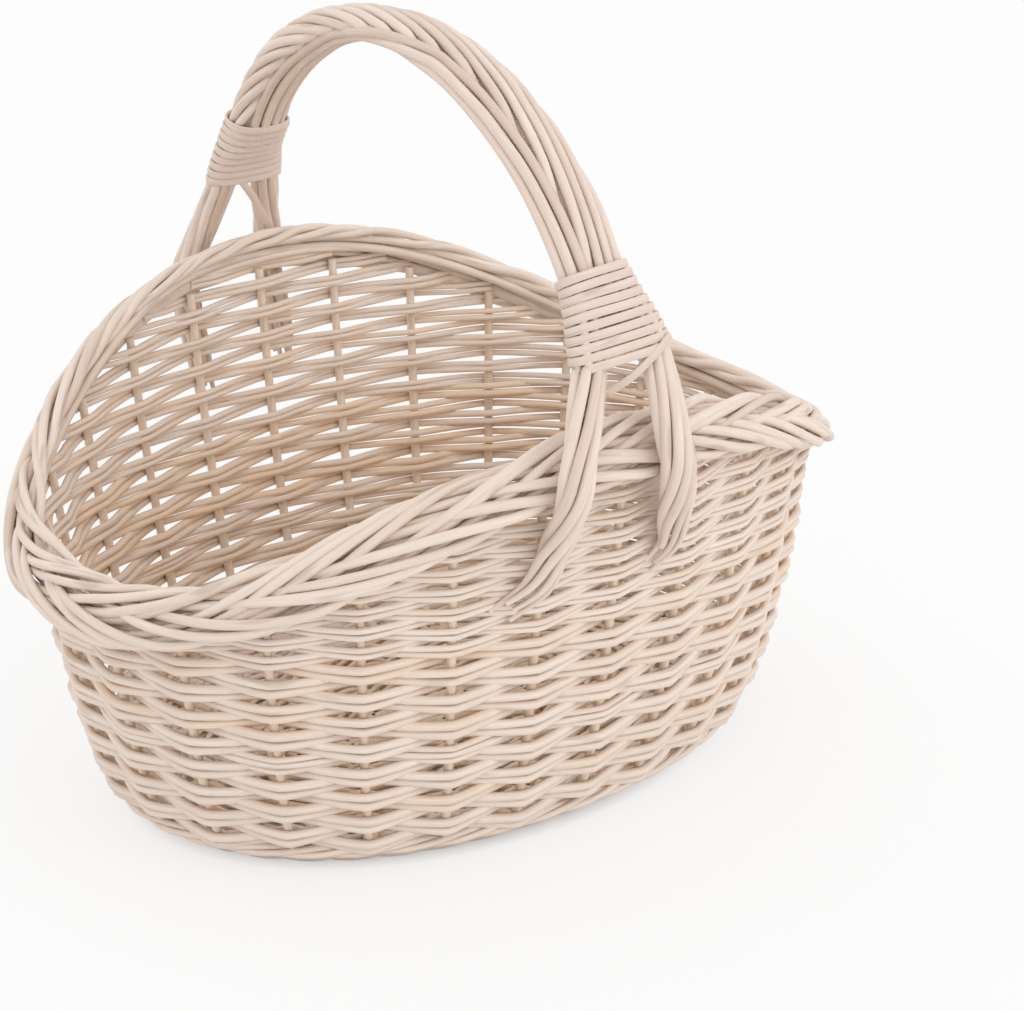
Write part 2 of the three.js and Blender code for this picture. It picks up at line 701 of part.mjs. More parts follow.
/** Centre lines of the base sticks: straight ones across, fanned ones lengthwise. */
function slathPaths() {
  const paths = [];
  const halfLength = BASE_HALF_LENGTH - SLATH_INSET;
  const halfWidth = BASE_HALF_WIDTH - SLATH_INSET;
  for (let k = 0; k < CROSS_STICKS; k += 1) {
    const x = (k - (CROSS_STICKS - 1) / 2) * CROSS_STICK_SPACING;
    const y = ovalPoint(halfLength, halfWidth, ovalAngleAt(halfLength, x, 1)).y;
    paths.push([new THREE.Vector3(x, -y, SLATH_HEIGHT), new THREE.Vector3(x, y, SLATH_HEIGHT)]);
  }
  for (let k = 0; k < LONG_STICKS; k += 1) {
    const place = k - (LONG_STICKS - 1) / 2;
    const y = place * LONG_STICK_SPACING;
    const spread = place * FAN_SPREAD;
    const tip = halfLength * (1 - Math.abs(spread / halfWidth) ** OVAL_POWER) ** (1 / OVAL_POWER);
    paths.push([
      new THREE.Vector3(-tip, spread, SLATH_HEIGHT),
      new THREE.Vector3(-FAN_START, y, SLATH_HEIGHT),
      new THREE.Vector3(FAN_START, y, SLATH_HEIGHT),
      new THREE.Vector3(tip, spread, SLATH_HEIGHT),
    ]);
  }
  return paths;
}

/** One stick of the base, rectangular in section. */
function slathStick(path) {
  const stations = path.map((at, k) => {
    const before = path[Math.max(k - 1, 0)];
    const after = path[Math.min(k + 1, path.length - 1)];
    const along = after.clone().sub(before).normalize();
    return { at, across: UP.clone().cross(along).normalize(), up: UP };
  });
  return sweep(stations, boxSection(SLATH_HALF_WIDTH, SLATH_HALF_THICKNESS), false);
}

/** All base sticks, pierced through one another and locked into one crossed frame. */
async function slath(paths) {
  const solidKit = await ManifoldModule();
  solidKit.setup();
  const { Manifold, Mesh } = solidKit;
  const solids = paths.map((path) => {
    const stick = slathStick(path);
    return new Manifold(new Mesh({
      numProp: 3,
      vertProperties: stick.getAttribute('position').array,
      triVerts: new Uint32Array(stick.getIndex().array),
    }));
  });
  const frame = solids.reduce((sum, solid) => sum.add(solid)).getMesh();
  const geometry = new THREE.BufferGeometry();
  geometry.setAttribute('position', new THREE.Float32BufferAttribute(frame.vertProperties, 3));
  geometry.setIndex([...frame.triVerts]);
  return geometry;
}

/** Places where a base round crosses the base sticks, in order round the oval. */
function crossings(halfLength, halfWidth, paths) {
  const found = [];
  const point = (k) => ovalPoint(halfLength, halfWidth, (FULL_TURN * k) / ARC_SAMPLES);
  for (const path of paths) {
    for (let s = 0; s + 1 < path.length; s += 1) {
      const along = path[s + 1].clone().sub(path[s]).setZ(0);
      const length = along.length();
      along.normalize();
      const aside = UP.clone().cross(along);
      for (let k = 0; k < ARC_SAMPLES; k += 1) {
        const a = point(k).sub(path[s]);
        const b = point(k + 1).sub(path[s]);
        const inside = a.dot(along) >= 0 && a.dot(along) < length;
        if (inside && Math.sign(a.dot(aside)) !== Math.sign(b.dot(aside))) {
          const tangent = b.clone().sub(a).setZ(0).normalize();
          const slant = Math.abs(tangent.dot(along));
          const square = Math.abs(tangent.dot(aside));
          const half = (SLATH_HALF_WIDTH + BASE_BAND_HALF_WIDTH * slant) / square + CROSSING_MARGIN;
          found.push({ step: k, half });
        }
      }
    }
  }
  return found.sort((a, b) => a.step - b.step);
}

/** One flat round of the base, over one stick and under the next. */
function baseRow(row, paths) {
  const inset = BASE_ROW_INSET + row * BASE_ROW_PITCH;
  const halfLength = BASE_HALF_LENGTH - inset;
  const halfWidth = BASE_HALF_WIDTH - inset;
  const lengths = [0];
  const point = (k) => ovalPoint(halfLength, halfWidth, (FULL_TURN * k) / ARC_SAMPLES);
  for (let k = 1; k <= ARC_SAMPLES; k += 1) {
    lengths.push(lengths[k - 1] + point(k).distanceTo(point(k - 1)));
  }
  const girth = lengths[ARC_SAMPLES];
  const station = (length, lift) => {
    const wanted = ((length % girth) + girth) % girth;
    const k = lengths.findIndex((value) => value >= wanted);
    const angle = (FULL_TURN * k) / ARC_SAMPLES;
    const at = ovalPoint(halfLength, halfWidth, angle).setZ(SLATH_HEIGHT + lift);
    return { at, across: ovalNormal(halfLength, halfWidth, angle), up: UP };
  };
  const stops = crossings(halfLength, halfWidth, paths);
  const stations = [];
  stops.forEach((stop, i) => {
    const side = weaveSide(i + row);
    const centre = lengths[stop.step];
    const next = stops[(i + 1) % stops.length];
    const span = ((lengths[next.step] - centre + girth) % girth) - stop.half - next.half;
    stations.push(station(centre - stop.half, side * BASE_WEAVE_DEPTH));
    stations.push(station(centre + stop.half, side * BASE_WEAVE_DEPTH));
    const extra = Math.floor(span / BASE_LONG_SPAN);
    for (let k = 1; k <= extra; k += 1) {
      const share = k / (extra + 1);
      stations.push(station(centre + stop.half + span * share, side * BASE_WEAVE_DEPTH * (1 - 2 * share)));
    }
  });
  return sweep(stations, boxSection(BASE_BAND_HALF_WIDTH, BASE_BAND_HALF_THICKNESS), true);
}

function pieceName(stem, index) {
  return `${stem}_${String(index + 1).padStart(2, '0')}`;
}

STAKE_ANGLES.forEach((angle, i) => addPiece(pieceName('stake', i), stake(angle), WILLOW.stake));
for (let row = 0; row < ROW_COUNT; row += 1) {
  addPiece(pieceName('weave_row', row), wovenRow(row), WILLOW.weaver);
}
addPiece('packing_far', packing(0), WILLOW.weaver);
addPiece('packing_near', packing(STAKE_COUNT / 2), WILLOW.weaver);
const borderSection = roundSection(BORDER_STRAND_RADIUS, BORDER_STRAND_SIDES);
BORDER_PATHS.forEach((path, i) => {
  addPiece(pieceName('border_strand', i), sweep(path, borderSection, true), WILLOW.border);
});
for (let strand = 0; strand < HANDLE_STRANDS; strand += 1) {
  addPiece(pieceName('handle_strand', strand), handleStrand(strand), WILLOW.handle);
}
for (const [name, foot] of [['binding_near', NEAR_FOOT], ['binding_far', FAR_FOOT]]) {
  const stations = bindingStations(foot);
  const gap = leastLoopGap(stations);
  console.log(`${name}: least gap between loops ${gap.toFixed(2)} mm, more than ${BINDING_MIN_GAP} wanted`);
  addPiece(name, sweep(stations, SKEIN_SECTION, false), WILLOW.skein);
}
addPiece('foot_wale', footWale(), WILLOW.weaver);
const sticks = slathPaths();
addPiece('base_slath', await slath(sticks), WILLOW.base);
for (let row = 0; row < BASE_ROWS; row += 1) {
  addPiece(pieceName('base_row', row), baseRow(row, sticks), WILLOW.base);
}

export default basket;
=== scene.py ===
"""Oval willow basket with a hooped handle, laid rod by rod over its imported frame."""

import logging
import math
from collections.abc import Iterable
from dataclasses import dataclass, field
from enum import Enum
from itertools import chain

import bpy
import numpy as np
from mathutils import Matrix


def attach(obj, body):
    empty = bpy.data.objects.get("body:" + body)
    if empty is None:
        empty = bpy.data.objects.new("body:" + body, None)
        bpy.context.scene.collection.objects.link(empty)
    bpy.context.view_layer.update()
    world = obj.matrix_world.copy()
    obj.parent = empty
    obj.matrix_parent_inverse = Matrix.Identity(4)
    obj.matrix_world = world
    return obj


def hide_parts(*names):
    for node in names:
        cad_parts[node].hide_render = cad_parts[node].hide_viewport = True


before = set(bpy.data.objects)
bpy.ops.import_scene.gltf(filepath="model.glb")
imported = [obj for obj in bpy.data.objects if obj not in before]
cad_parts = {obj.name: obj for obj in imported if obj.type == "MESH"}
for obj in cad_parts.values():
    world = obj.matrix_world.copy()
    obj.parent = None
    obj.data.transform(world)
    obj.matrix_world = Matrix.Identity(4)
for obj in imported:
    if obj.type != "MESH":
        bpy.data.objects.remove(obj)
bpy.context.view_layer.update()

LOG = logging.getLogger("basket")
TAU = 2 * math.pi
UPWARD = np.array([0.0, 0.0, 1.0])
LENGTHWISE = np.array([1.0, 0.0, 0.0])
ROD_UV = "rod_uv"
ROD_TONE_AND_PAINTED_SHADE = "rod_tone_and_painted_shade"
SEED = 11
UV_SPREAD = 40
FINE_SIDES = 10


def unit(vectors: np.ndarray) -> np.ndarray:
    """Vectors brought to length one."""
    return vectors / np.linalg.norm(vectors, axis=-1, keepdims=True)


def ease(share: np.ndarray) -> np.ndarray:
    """Smooth step from nought to one."""
    held = np.clip(share, 0.0, 1.0)
    return held * held * (3 - 2 * held)


def bowed(values: np.ndarray, power: float) -> np.ndarray:
    """Values raised to a power, with their signs kept."""
    return np.sign(values) * np.abs(values) ** power


def run_along(points: np.ndarray) -> np.ndarray:
    """Lengths along a line of points, from nought at the first one."""
    return np.concatenate([[0], np.cumsum(np.linalg.norm(np.diff(points, axis=0), axis=1))])


def curve_through(points: np.ndarray, steps: int) -> np.ndarray:
    """Smooth open curve through given points, evenly spaced along its length.

    Args:
        points: Points to pass through, one per row.
        steps: Number of points wanted along the curve.

    Returns:
        The points of the curve, one per row.
    """
    padded = np.vstack([2 * points[0] - points[1], points, 2 * points[-1] - points[-2]])
    fine = []
    for a, b, c, d in zip(padded, padded[1:], padded[2:], padded[3:]):
        t = np.linspace(0, 1, 40, endpoint=False)[:, None]
        bow = (2 * a - 5 * b + 4 * c - d) * t**2 + (3 * b - a - 3 * c + d) * t**3
        fine.append(0.5 * (2 * b + (c - a) * t + bow))
    dense = np.vstack([*fine, points[-1:]])
    run = run_along(dense)
    wanted = np.linspace(0, run[-1], steps)
    return np.column_stack([np.interp(wanted, run, dense[:, k]) for k in range(3)])


def feed(tree: bpy.types.NodeTree, node: bpy.types.Node, inputs: dict[str | int, object]) -> None:
    """Set the inputs of a node.

    Args:
        tree: Node tree that the node is in.
        node: The node.
        inputs: Values or sockets, by the name or number of the input.
    """
    for key, value in inputs.items():
        if isinstance(value, bpy.types.NodeSocket):
            tree.links.new(value, node.inputs[key])
        else:
            node.inputs[key].default_value = value


def lay_node(
    tree: bpy.types.NodeTree, kind: str, inputs: dict[str | int, object] | None = None, **settings: str
) -> bpy.types.Node:
    """A new shader node.

    Args:
        tree: Node tree that gets it.
        kind: Its type, without the common beginning of the names.
        inputs: Values or sockets, by the name or number of the input.
        settings: Its other settings.

    Returns:
        The node.
    """
    node = tree.nodes.new(f"ShaderNode{kind}")
    for name, setting in settings.items():
        setattr(node, name, setting)
    feed(tree, node, inputs or {})
    return node


class End(Enum):
    """The two long sides that the handle stands on."""

    NEAR = -1
    FAR = 1


class Leg(Enum):
    """The two legs that each handle foot forks into."""

    LEFT = -1
    RIGHT = 1


@dataclass(frozen=True)
class WallForm:
    """Oval flared wall that every rod follows, in metres."""

    rim_half_length: float = 0.166
    rim_half_width: float = 0.128
    base_half_length: float = 0.123
    base_half_width: float = 0.080
    end_rim_height: float = 0.1165
    side_rim_height: float = 0.1785
    rim_rise_power: float = 2.5
    oval_power: float = 2.14
    flare_power: float = 0.34
    stake_count: int = 26
    bend_top: float = 0.014
    small_angle: float = 0.002
    small_rise: float = 1e-4
    girth_steps: int = 2881

    def oval(self, half_length: np.ndarray, half_width: np.ndarray, angle: np.ndarray) -> np.ndarray:
        """Points of an oval at height nought.

        Args:
            half_length: Half of its length.
            half_width: Half of its width.
            angle: Parameter angles round the oval.

        Returns:
            Points, one per angle.
        """
        power = 2 / self.oval_power
        x = half_length * bowed(np.cos(angle), power)
        y = half_width * bowed(np.sin(angle), power)
        return np.stack([x, y, np.zeros_like(x)], axis=-1)

    def oval_normal(self, half_length: float, half_width: float, angle: np.ndarray) -> np.ndarray:
        """Outward directions of an oval.

        Args:
            half_length: Half of its length.
            half_width: Half of its width.
            angle: Parameter angles round the oval.

        Returns:
            Unit vectors, one per angle.
        """
        at = self.oval(half_length, half_width, angle)
        power = self.oval_power - 1
        x = bowed(at[..., 0] / half_length, power) / half_length
        y = bowed(at[..., 1] / half_width, power) / half_width
        return unit(np.stack([x, y, np.zeros_like(x)], axis=-1))

    def half_length(self, z: np.ndarray) -> np.ndarray:
        """Half length of the wall at a height."""
        share = (np.maximum(z, 0) / self.end_rim_height) ** self.flare_power
        return self.base_half_length + (self.rim_half_length - self.base_half_length) * share

    def half_width(self, z: np.ndarray) -> np.ndarray:
        """Half width of the wall at a height."""
        share = (np.maximum(z, 0) / self.side_rim_height) ** self.flare_power
        return self.base_half_width + (self.rim_half_width - self.base_half_width) * share

    def point(self, angle: np.ndarray, z: np.ndarray) -> np.ndarray:
        """Points of the wall's middle surface.

        Args:
            angle: Parameter angles round the wall.
            z: Heights.

        Returns:
            Points, one per angle.
        """
        at = self.oval(self.half_length(z), self.half_width(z), angle)
        at[..., 2] = z
        return at

    def axes(self, angle: np.ndarray, z: np.ndarray) -> tuple[np.ndarray, np.ndarray, np.ndarray]:
        """Places on the wall with their own directions.

        Args:
            angle: Parameter angles round the wall.
            z: Heights.

        Returns:
            Points, outward directions and directions up the slope.
        """
        at = self.point(angle, z)
        rise = unit(self.point(angle, z + self.small_rise) - at)
        along = unit(self.point(angle + self.small_angle, z) - self.point(angle - self.small_angle, z))
        outward = unit(np.cross(along, rise))
        return at, outward, np.cross(outward, along)

    def rim_height(self, angle: np.ndarray) -> np.ndarray:
        """Height of the border's middle: low at the ends, high at the sides."""
        rise = np.abs(np.sin(angle)) ** self.rim_rise_power
        return self.end_rim_height + (self.side_rim_height - self.end_rim_height) * rise

    def angle_at(self, share: np.ndarray) -> np.ndarray:
        """Angles at shares of the girth, starting at the middle of the far side.

        Args:
            share: Shares of one full round.

        Returns:
            Parameter angles.
        """
        angles = math.pi / 2 + np.linspace(0, TAU, self.girth_steps)
        ring = self.point(angles, np.full_like(angles, self.end_rim_height))
        run = run_along(ring)
        return np.interp(np.asarray(share) % 1.0, run / run[-1], angles)

    def stake_angle(self, stake: np.ndarray) -> np.ndarray:
        """Angles of stakes, counted round from the middle of the far side."""
        return self.angle_at(np.asarray(stake, float) / self.stake_count)

    def flare_out(self, angle: np.ndarray) -> np.ndarray:
        """How far the wall stands outside the base oval where the stakes have bent up.

        Args:
            angle: Parameter angles round the base.

        Returns:
            Distances, one per angle.
        """
        edge = self.oval(self.base_half_length, self.base_half_width, angle)
        outward = self.oval_normal(self.base_half_length, self.base_half_width, angle)
        lean = self.point(angle, np.full_like(angle, self.bend_top)) - edge
        return np.sum(lean * outward, axis=-1)


@dataclass
class Rod:
    """One willow rod: its run, thickness, tone and the painted shade on its faces that turn toward the inside
    of the basket.
    """

    path: np.ndarray
    radius: np.ndarray | float
    closed: bool = False
    tone: float = 0.5
    sides: int = 8
    # Painted shade: how much darker the rod's faces toward the inside of the basket are made, in place of the
    # shade that falls there.
    inner_painted_shade: float = 0.0


@dataclass(frozen=True)
class WillowFinish:
    """Peeled willow: long fibre, shade that drifts from rod to rod, small bud scars."""

    name: str
    slot: str
    pale: tuple[float, float, float]
    middle: tuple[float, float, float]
    deep: tuple[float, float, float]
    rough_low: float = 0.5
    rough_high: float = 0.72
    fibre_depth: float = 0.35
    fibre_height: float = 0.00025
    fibre_waves: tuple[float, float, float] = (70.0, 22.0, 1.0)
    drift_waves: tuple[float, float, float] = (9.0, 0.7, 1.0)
    scar_waves: tuple[float, float, float] = (34.0, 2.6, 1.0)
    ramp: tuple[float, float, float] = (0.12, 0.48, 0.88)
    drift: float = 0.7
    grain_from: tuple[float, float] = (0.25, 0.75)
    grain_to: tuple[float, float] = (0.86, 1.06)
    scar_from: tuple[float, float] = (0.70, 0.78)
    scar_strength: float = 0.48
    scar_shade: float = 0.62
    gloss: float = 0.35

    def material(self) -> bpy.types.Material:
        """The finish as a node material, made once and found again by a name that the frame does not use.

        Returns:
            The material.
        """
        found = bpy.data.materials.get(self.name)
        if found is not None:
            return found
        made = bpy.data.materials.new(self.name)
        made.use_nodes = True
        self._lay_nodes(made.node_tree)
        return made

    def _lay_nodes(self, tree: bpy.types.NodeTree) -> None:
        """Lay the nodes of the finish.

        Args:
            tree: Node tree of a new material.
        """
        run = lay_node(tree, "UVMap", uv_map=ROD_UV).outputs["UV"]
        fibre = self._streaks(tree, run, self.fibre_waves, 4.0)
        drift = self._streaks(tree, run, self.drift_waves, 2.0)
        scar = self._streaks(tree, run, self.scar_waves, 0.0)

        # The tone attribute holds each rod's own tone together with painted shade on its faces toward the
        # inside of the basket.
        shade = lay_node(tree, "Attribute", attribute_name=ROD_TONE_AND_PAINTED_SHADE)
        wander = lay_node(
            tree, "Math", {0: drift, 1: self.drift, 2: -self.drift / 2}, operation="MULTIPLY_ADD"
        )
        tone = lay_node(tree, "Math", {0: shade.outputs["Fac"], 1: wander.outputs[0]}, operation="ADD")
        colour = lay_node(tree, "ValToRGB", {"Fac": tone.outputs[0]})
        low, middle, high = self.ramp
        stops = colour.color_ramp.elements
        stops[0].position, stops[0].color = low, (*self.deep, 1)
        stops[1].position, stops[1].color = high, (*self.pale, 1)
        stops.new(middle).color = (*self.middle, 1)

        grain = self._levels(tree, fibre, self.grain_from, self.grain_to)
        grained = lay_node(
            tree, "Mix", {"Factor": 1.0, "A": colour.outputs["Color"], "B": grain},
            data_type="RGBA", blend_type="MULTIPLY",
        )
        spot = self._levels(tree, scar, self.scar_from, (0.0, self.scar_strength))
        dark = (*(c * self.scar_shade for c in self.deep), 1)
        scarred = lay_node(
            tree, "Mix", {"Factor": spot, "A": grained.outputs["Result"], "B": dark}, data_type="RGBA"
        )
        relief = lay_node(
            tree, "Bump", {"Strength": self.fibre_depth, "Distance": self.fibre_height, "Height": fibre}
        )
        feed(tree, tree.nodes["Principled BSDF"], {
            "Base Color": scarred.outputs["Result"],
            "Roughness": self._levels(tree, fibre, (0.0, 1.0), (self.rough_high, self.rough_low)),
            "Normal": relief.outputs["Normal"],
            "Specular IOR Level": self.gloss,
        })

    @staticmethod
    def _streaks(
        tree: bpy.types.NodeTree, run: bpy.types.NodeSocket, waves: tuple[float, float, float], detail: float
    ) -> bpy.types.NodeSocket:
        """Noise drawn out along the rods.

        Args:
            tree: Node tree that gets the nodes.
            run: Socket that gives the way along and round a rod.
            waves: Waves per metre along the rod, and waves round it.
            detail: Octaves of finer noise.

        Returns:
            The socket with the noise.
        """
        stretch = lay_node(tree, "Mapping", {"Vector": run, "Scale": waves})
        noise = {"Vector": stretch.outputs["Vector"], "Scale": 1.0, "Detail": detail}
        return lay_node(tree, "TexNoise", noise).outputs["Fac"]

    @staticmethod
    def _levels(
        tree: bpy.types.NodeTree,
        value: bpy.types.NodeSocket,
        old: tuple[float, float],
        new: tuple[float, float],
    ) -> bpy.types.NodeSocket:
        """A value brought from one range to another.

        Args:
            tree: Node tree that gets the node.
            value: Socket with the value.
            old: Range that it has.
            new: Range that it gets.

        Returns:
            The socket with the result.
        """
        levels = dict(zip(("From Min", "From Max", "To Min", "To Max"), (*old, *new)))
        return lay_node(tree, "MapRange", {"Value": value, **levels}).outputs["Result"]


class Willow(Enum):
    """Finishes of the basket's rods. The weaver and stake finishes are painted paler than the border and
    handle finishes: painted light that lifts the walls, which lie in shade.
    """

    # Painted light: paler than the border and handle finishes, to lift the stakes that lie in shade.
    STAKE = WillowFinish(
        "peeled_stake", "willow_stake", (0.88, 0.75, 0.63), (0.83, 0.685, 0.55), (0.76, 0.60, 0.455)
    )
    # Painted light: paler than the border and handle finishes, to lift the walls that lie in shade.
    WEAVER = WillowFinish(
        "peeled_weaver", "willow_weaver",
        (0.88, 0.765, 0.675), (0.825, 0.695, 0.597), (0.865, 0.665, 0.49),
    )
    BORDER = WillowFinish(
        "peeled_border", "willow_border",
        (0.845, 0.722, 0.63), (0.805, 0.675, 0.575), (0.715, 0.575, 0.475),
    )
    HANDLE = WillowFinish(
        "peeled_handle", "willow_handle",
        (0.845, 0.72, 0.633), (0.80, 0.665, 0.572), (0.715, 0.575, 0.477),
    )
    SKEIN = WillowFinish(
        "peeled_skein", "willow_skein",
        (0.80, 0.68, 0.60), (0.76, 0.625, 0.54), (0.68, 0.545, 0.455), 0.42, 0.62,
    )
    BASE = WillowFinish(
        "peeled_base", "willow_base", (0.84, 0.70, 0.57), (0.78, 0.625, 0.48), (0.70, 0.54, 0.40)
    )


class RodBench:
    """Bends rods to shape and fixes them together into the basket's pieces."""

    inward_weights: np.ndarray = np.array([0.6, 1.0, 0.0])
    skein_sides: int = 10
    skein_powers: tuple[float, float] = (0.7, 0.55)
    skein_tone: tuple[float, float] = (0.55, 0.1)
    smooth_angle: float = math.radians(48)
    tone_range: tuple[float, float] = (0.05, 0.98)
    sway_waves: tuple[int, ...] = (2, 3, 5, 9)
    sway_share: float = 0.6

    def __init__(self) -> None:
        """Start with a fixed seed, so that every basket comes out the same."""
        self.chance = np.random.default_rng(SEED)

    def bend(self, rod: Rod) -> bpy.types.Object:
        """Bend one rod: a path curve with a round bevel, turned into a mesh.

        Args:
            rod: Run, thickness and shade of the rod.

        Returns:
            The rod's mesh object, at the origin.
        """
        bpy.ops.object.select_all(action="DESELECT")
        bpy.ops.curve.primitive_nurbs_path_add(location=(0, 0, 0))
        piece = bpy.context.object
        curve = piece.data
        curve.splines.clear()
        spline = curve.splines.new("POLY")
        count = len(rod.path)
        spline.points.add(count - 1)
        places = np.column_stack([rod.path, np.ones(count)])
        spline.points.foreach_set("co", places.astype(np.float32).ravel())
        spline.points.foreach_set("radius", np.broadcast_to(rod.radius, count).astype(np.float32))
        spline.use_cyclic_u = rod.closed
        curve.twist_mode = "MINIMUM"
        curve.bevel_depth = 1.0
        curve.bevel_resolution = rod.sides // 2 - 2
        curve.use_fill_caps = not rod.closed
        bpy.ops.object.convert(target="MESH")
        self._close(piece)
        self._mark(piece, rod)
        return piece

    @staticmethod
    def _close(piece: bpy.types.Object) -> None:
        """Weld the cut ends on and turn all faces outward.

        Args:
            piece: The mesh object, selected and active.
        """
        bpy.ops.object.mode_set(mode="EDIT")
        bpy.ops.mesh.select_all(action="SELECT")
        bpy.ops.mesh.remove_doubles(threshold=1e-6)
        bpy.ops.mesh.normals_make_consistent(inside=False)
        bpy.ops.object.mode_set(mode="OBJECT")

    def _mark(self, piece: bpy.types.Object, rod: Rod) -> None:
        """Write the way along the rod and its tone onto its mesh, with painted shade that darkens the faces
        turned toward the inside of the basket.

        Args:
            piece: The rod's mesh object.
            rod: Run, thickness and shade of the rod.
        """
        mesh = piece.data
        layer = mesh.uv_layers[0]
        layer.name = ROD_UV
        uv = np.empty(2 * len(mesh.loops), np.float32)
        layer.data.foreach_get("uv", uv)
        uv = uv.reshape(-1, 2)
        length = float(np.linalg.norm(np.diff(rod.path, axis=0), axis=1).sum())
        uv[:, 0] = uv[:, 0] * length + self.chance.uniform(0, UV_SPREAD)
        layer.data.foreach_set("uv", uv.ravel())
        places = np.empty(3 * len(mesh.vertices), np.float32)
        mesh.vertices.foreach_get("co", places)
        normals = np.empty_like(places)
        mesh.vertex_normals.foreach_get("vector", normals)
        # Painted shade: faces turned toward the middle of the basket get a lower tone.
        radial = unit(places.reshape(-1, 3) * self.inward_weights + 1e-9)
        inward = 0.5 - 0.5 * np.sum(normals.reshape(-1, 3) * radial, axis=1)
        tone_and_painted_shade = rod.tone - rod.inner_painted_shade * ease(inward)
        tone = mesh.attributes.new(ROD_TONE_AND_PAINTED_SHADE, "FLOAT", "POINT")
        tone.data.foreach_set("value", tone_and_painted_shade.astype(np.float32))

    def wind(
        self, stations: np.ndarray, across: np.ndarray, up: np.ndarray, half: tuple[float, float]
    ) -> bpy.types.Object:
        """Lay a flat split skein along stations, with its face turned outward.

        Args:
            stations: Points along the skein's middle.
            across: Directions through the skein, outward.
            up: Directions along the skein's width.
            half: Half thickness and half width.

        Returns:
            The skein's mesh object, at the origin.
        """
        sides, count = self.skein_sides, len(stations)
        turn = np.linspace(0, TAU, sides, endpoint=False)
        a = half[0] * bowed(np.cos(turn), self.skein_powers[0])
        b = half[1] * bowed(np.sin(turn), self.skein_powers[1])
        rings = stations[:, None] + a[None, :, None] * across[:, None] + b[None, :, None] * up[:, None]
        faces = []
        for i in range(count - 1):
            for k in range(sides):
                n = (k + 1) % sides
                faces.append((i * sides + k, i * sides + n, (i + 1) * sides + n, (i + 1) * sides + k))
        faces.append(tuple(range(sides)))
        faces.append(tuple(range((count - 1) * sides, count * sides)))
        mesh = bpy.data.meshes.new("skein")
        mesh.from_pydata(rings.reshape(-1, 3).tolist(), [], faces)
        piece = bpy.data.objects.new("skein", mesh)
        bpy.context.scene.collection.objects.link(piece)
        run = run_along(stations)
        loops = np.empty(len(mesh.loops), np.int32)
        mesh.loops.foreach_get("vertex_index", loops)
        layer = mesh.uv_layers.new(name=ROD_UV)
        start = self.chance.uniform(0, UV_SPREAD)
        uv = np.column_stack([run[loops // sides] + start, (loops % sides) / sides])
        layer.data.foreach_set("uv", uv.astype(np.float32).ravel())
        tone = mesh.attributes.new(ROD_TONE_AND_PAINTED_SHADE, "FLOAT", "POINT")
        tone.data.foreach_set("value", np.full(len(mesh.vertices), self.tone(*self.skein_tone), np.float32))
        bpy.ops.object.select_all(action="DESELECT")
        piece.select_set(True)
        bpy.context.view_layer.objects.active = piece
        self._close(piece)
        return piece

    def make(self, node: str, rods: Iterable[Rod], finish: Willow) -> None:
        """Bend rods one by one and fix them together as the piece that stands for a frame node.

        Args:
            node: The frame node.
            rods: The rods, each bent before the next is drawn.
            finish: Finish of the piece.
        """
        self.gather(f"willow_{node}", [self.bend(rod) for rod in rods], finish, node)

    def gather(self, name: str, laid: list[bpy.types.Object], finish: Willow, *nodes: str) -> None:
        """Fix bent rods together as one piece that stands for frame nodes.

        Args:
            name: Name of the piece.
            laid: Mesh objects of the rods.
            finish: Finish of the piece.
            nodes: Frame nodes that the piece stands for.
        """
        bpy.ops.object.select_all(action="DESELECT")
        for rod in laid:
            rod.select_set(True)
        bpy.context.view_layer.objects.active = laid[0]
        if len(laid) > 1:
            bpy.ops.object.join()
        piece = bpy.context.object
        bpy.ops.object.shade_smooth_by_angle(angle=self.smooth_angle)
        piece.name = name
        piece.data.name = name
        piece.data.materials.clear()
        piece.data.materials.append(finish.value.material())
        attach(piece, "root")
        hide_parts(*nodes)
        LOG.info("%s: %d rods, %d faces", name, len(laid), len(piece.data.polygons))

    def tone(self, middle: float = 0.5, spread: float = 0.2) -> float:
        """Shade of one rod, drawn by chance round a middle shade."""
        return float(np.clip(self.chance.normal(middle, spread), *self.tone_range))

    def sway(self, turns: np.ndarray, height: float) -> np.ndarray:
        """Slow unevenness along a round of the basket.

        Args:
            turns: Shares of the round.
            height: Largest departure of one wave.

        Returns:
            Departures, one per share.
        """
        total = np.zeros_like(turns)
        for waves in self.sway_waves:
            wave = np.sin(TAU * (waves * turns + self.chance.random()))
            total += height * math.sqrt(2 / waves) * wave * self.sway_share
        return total


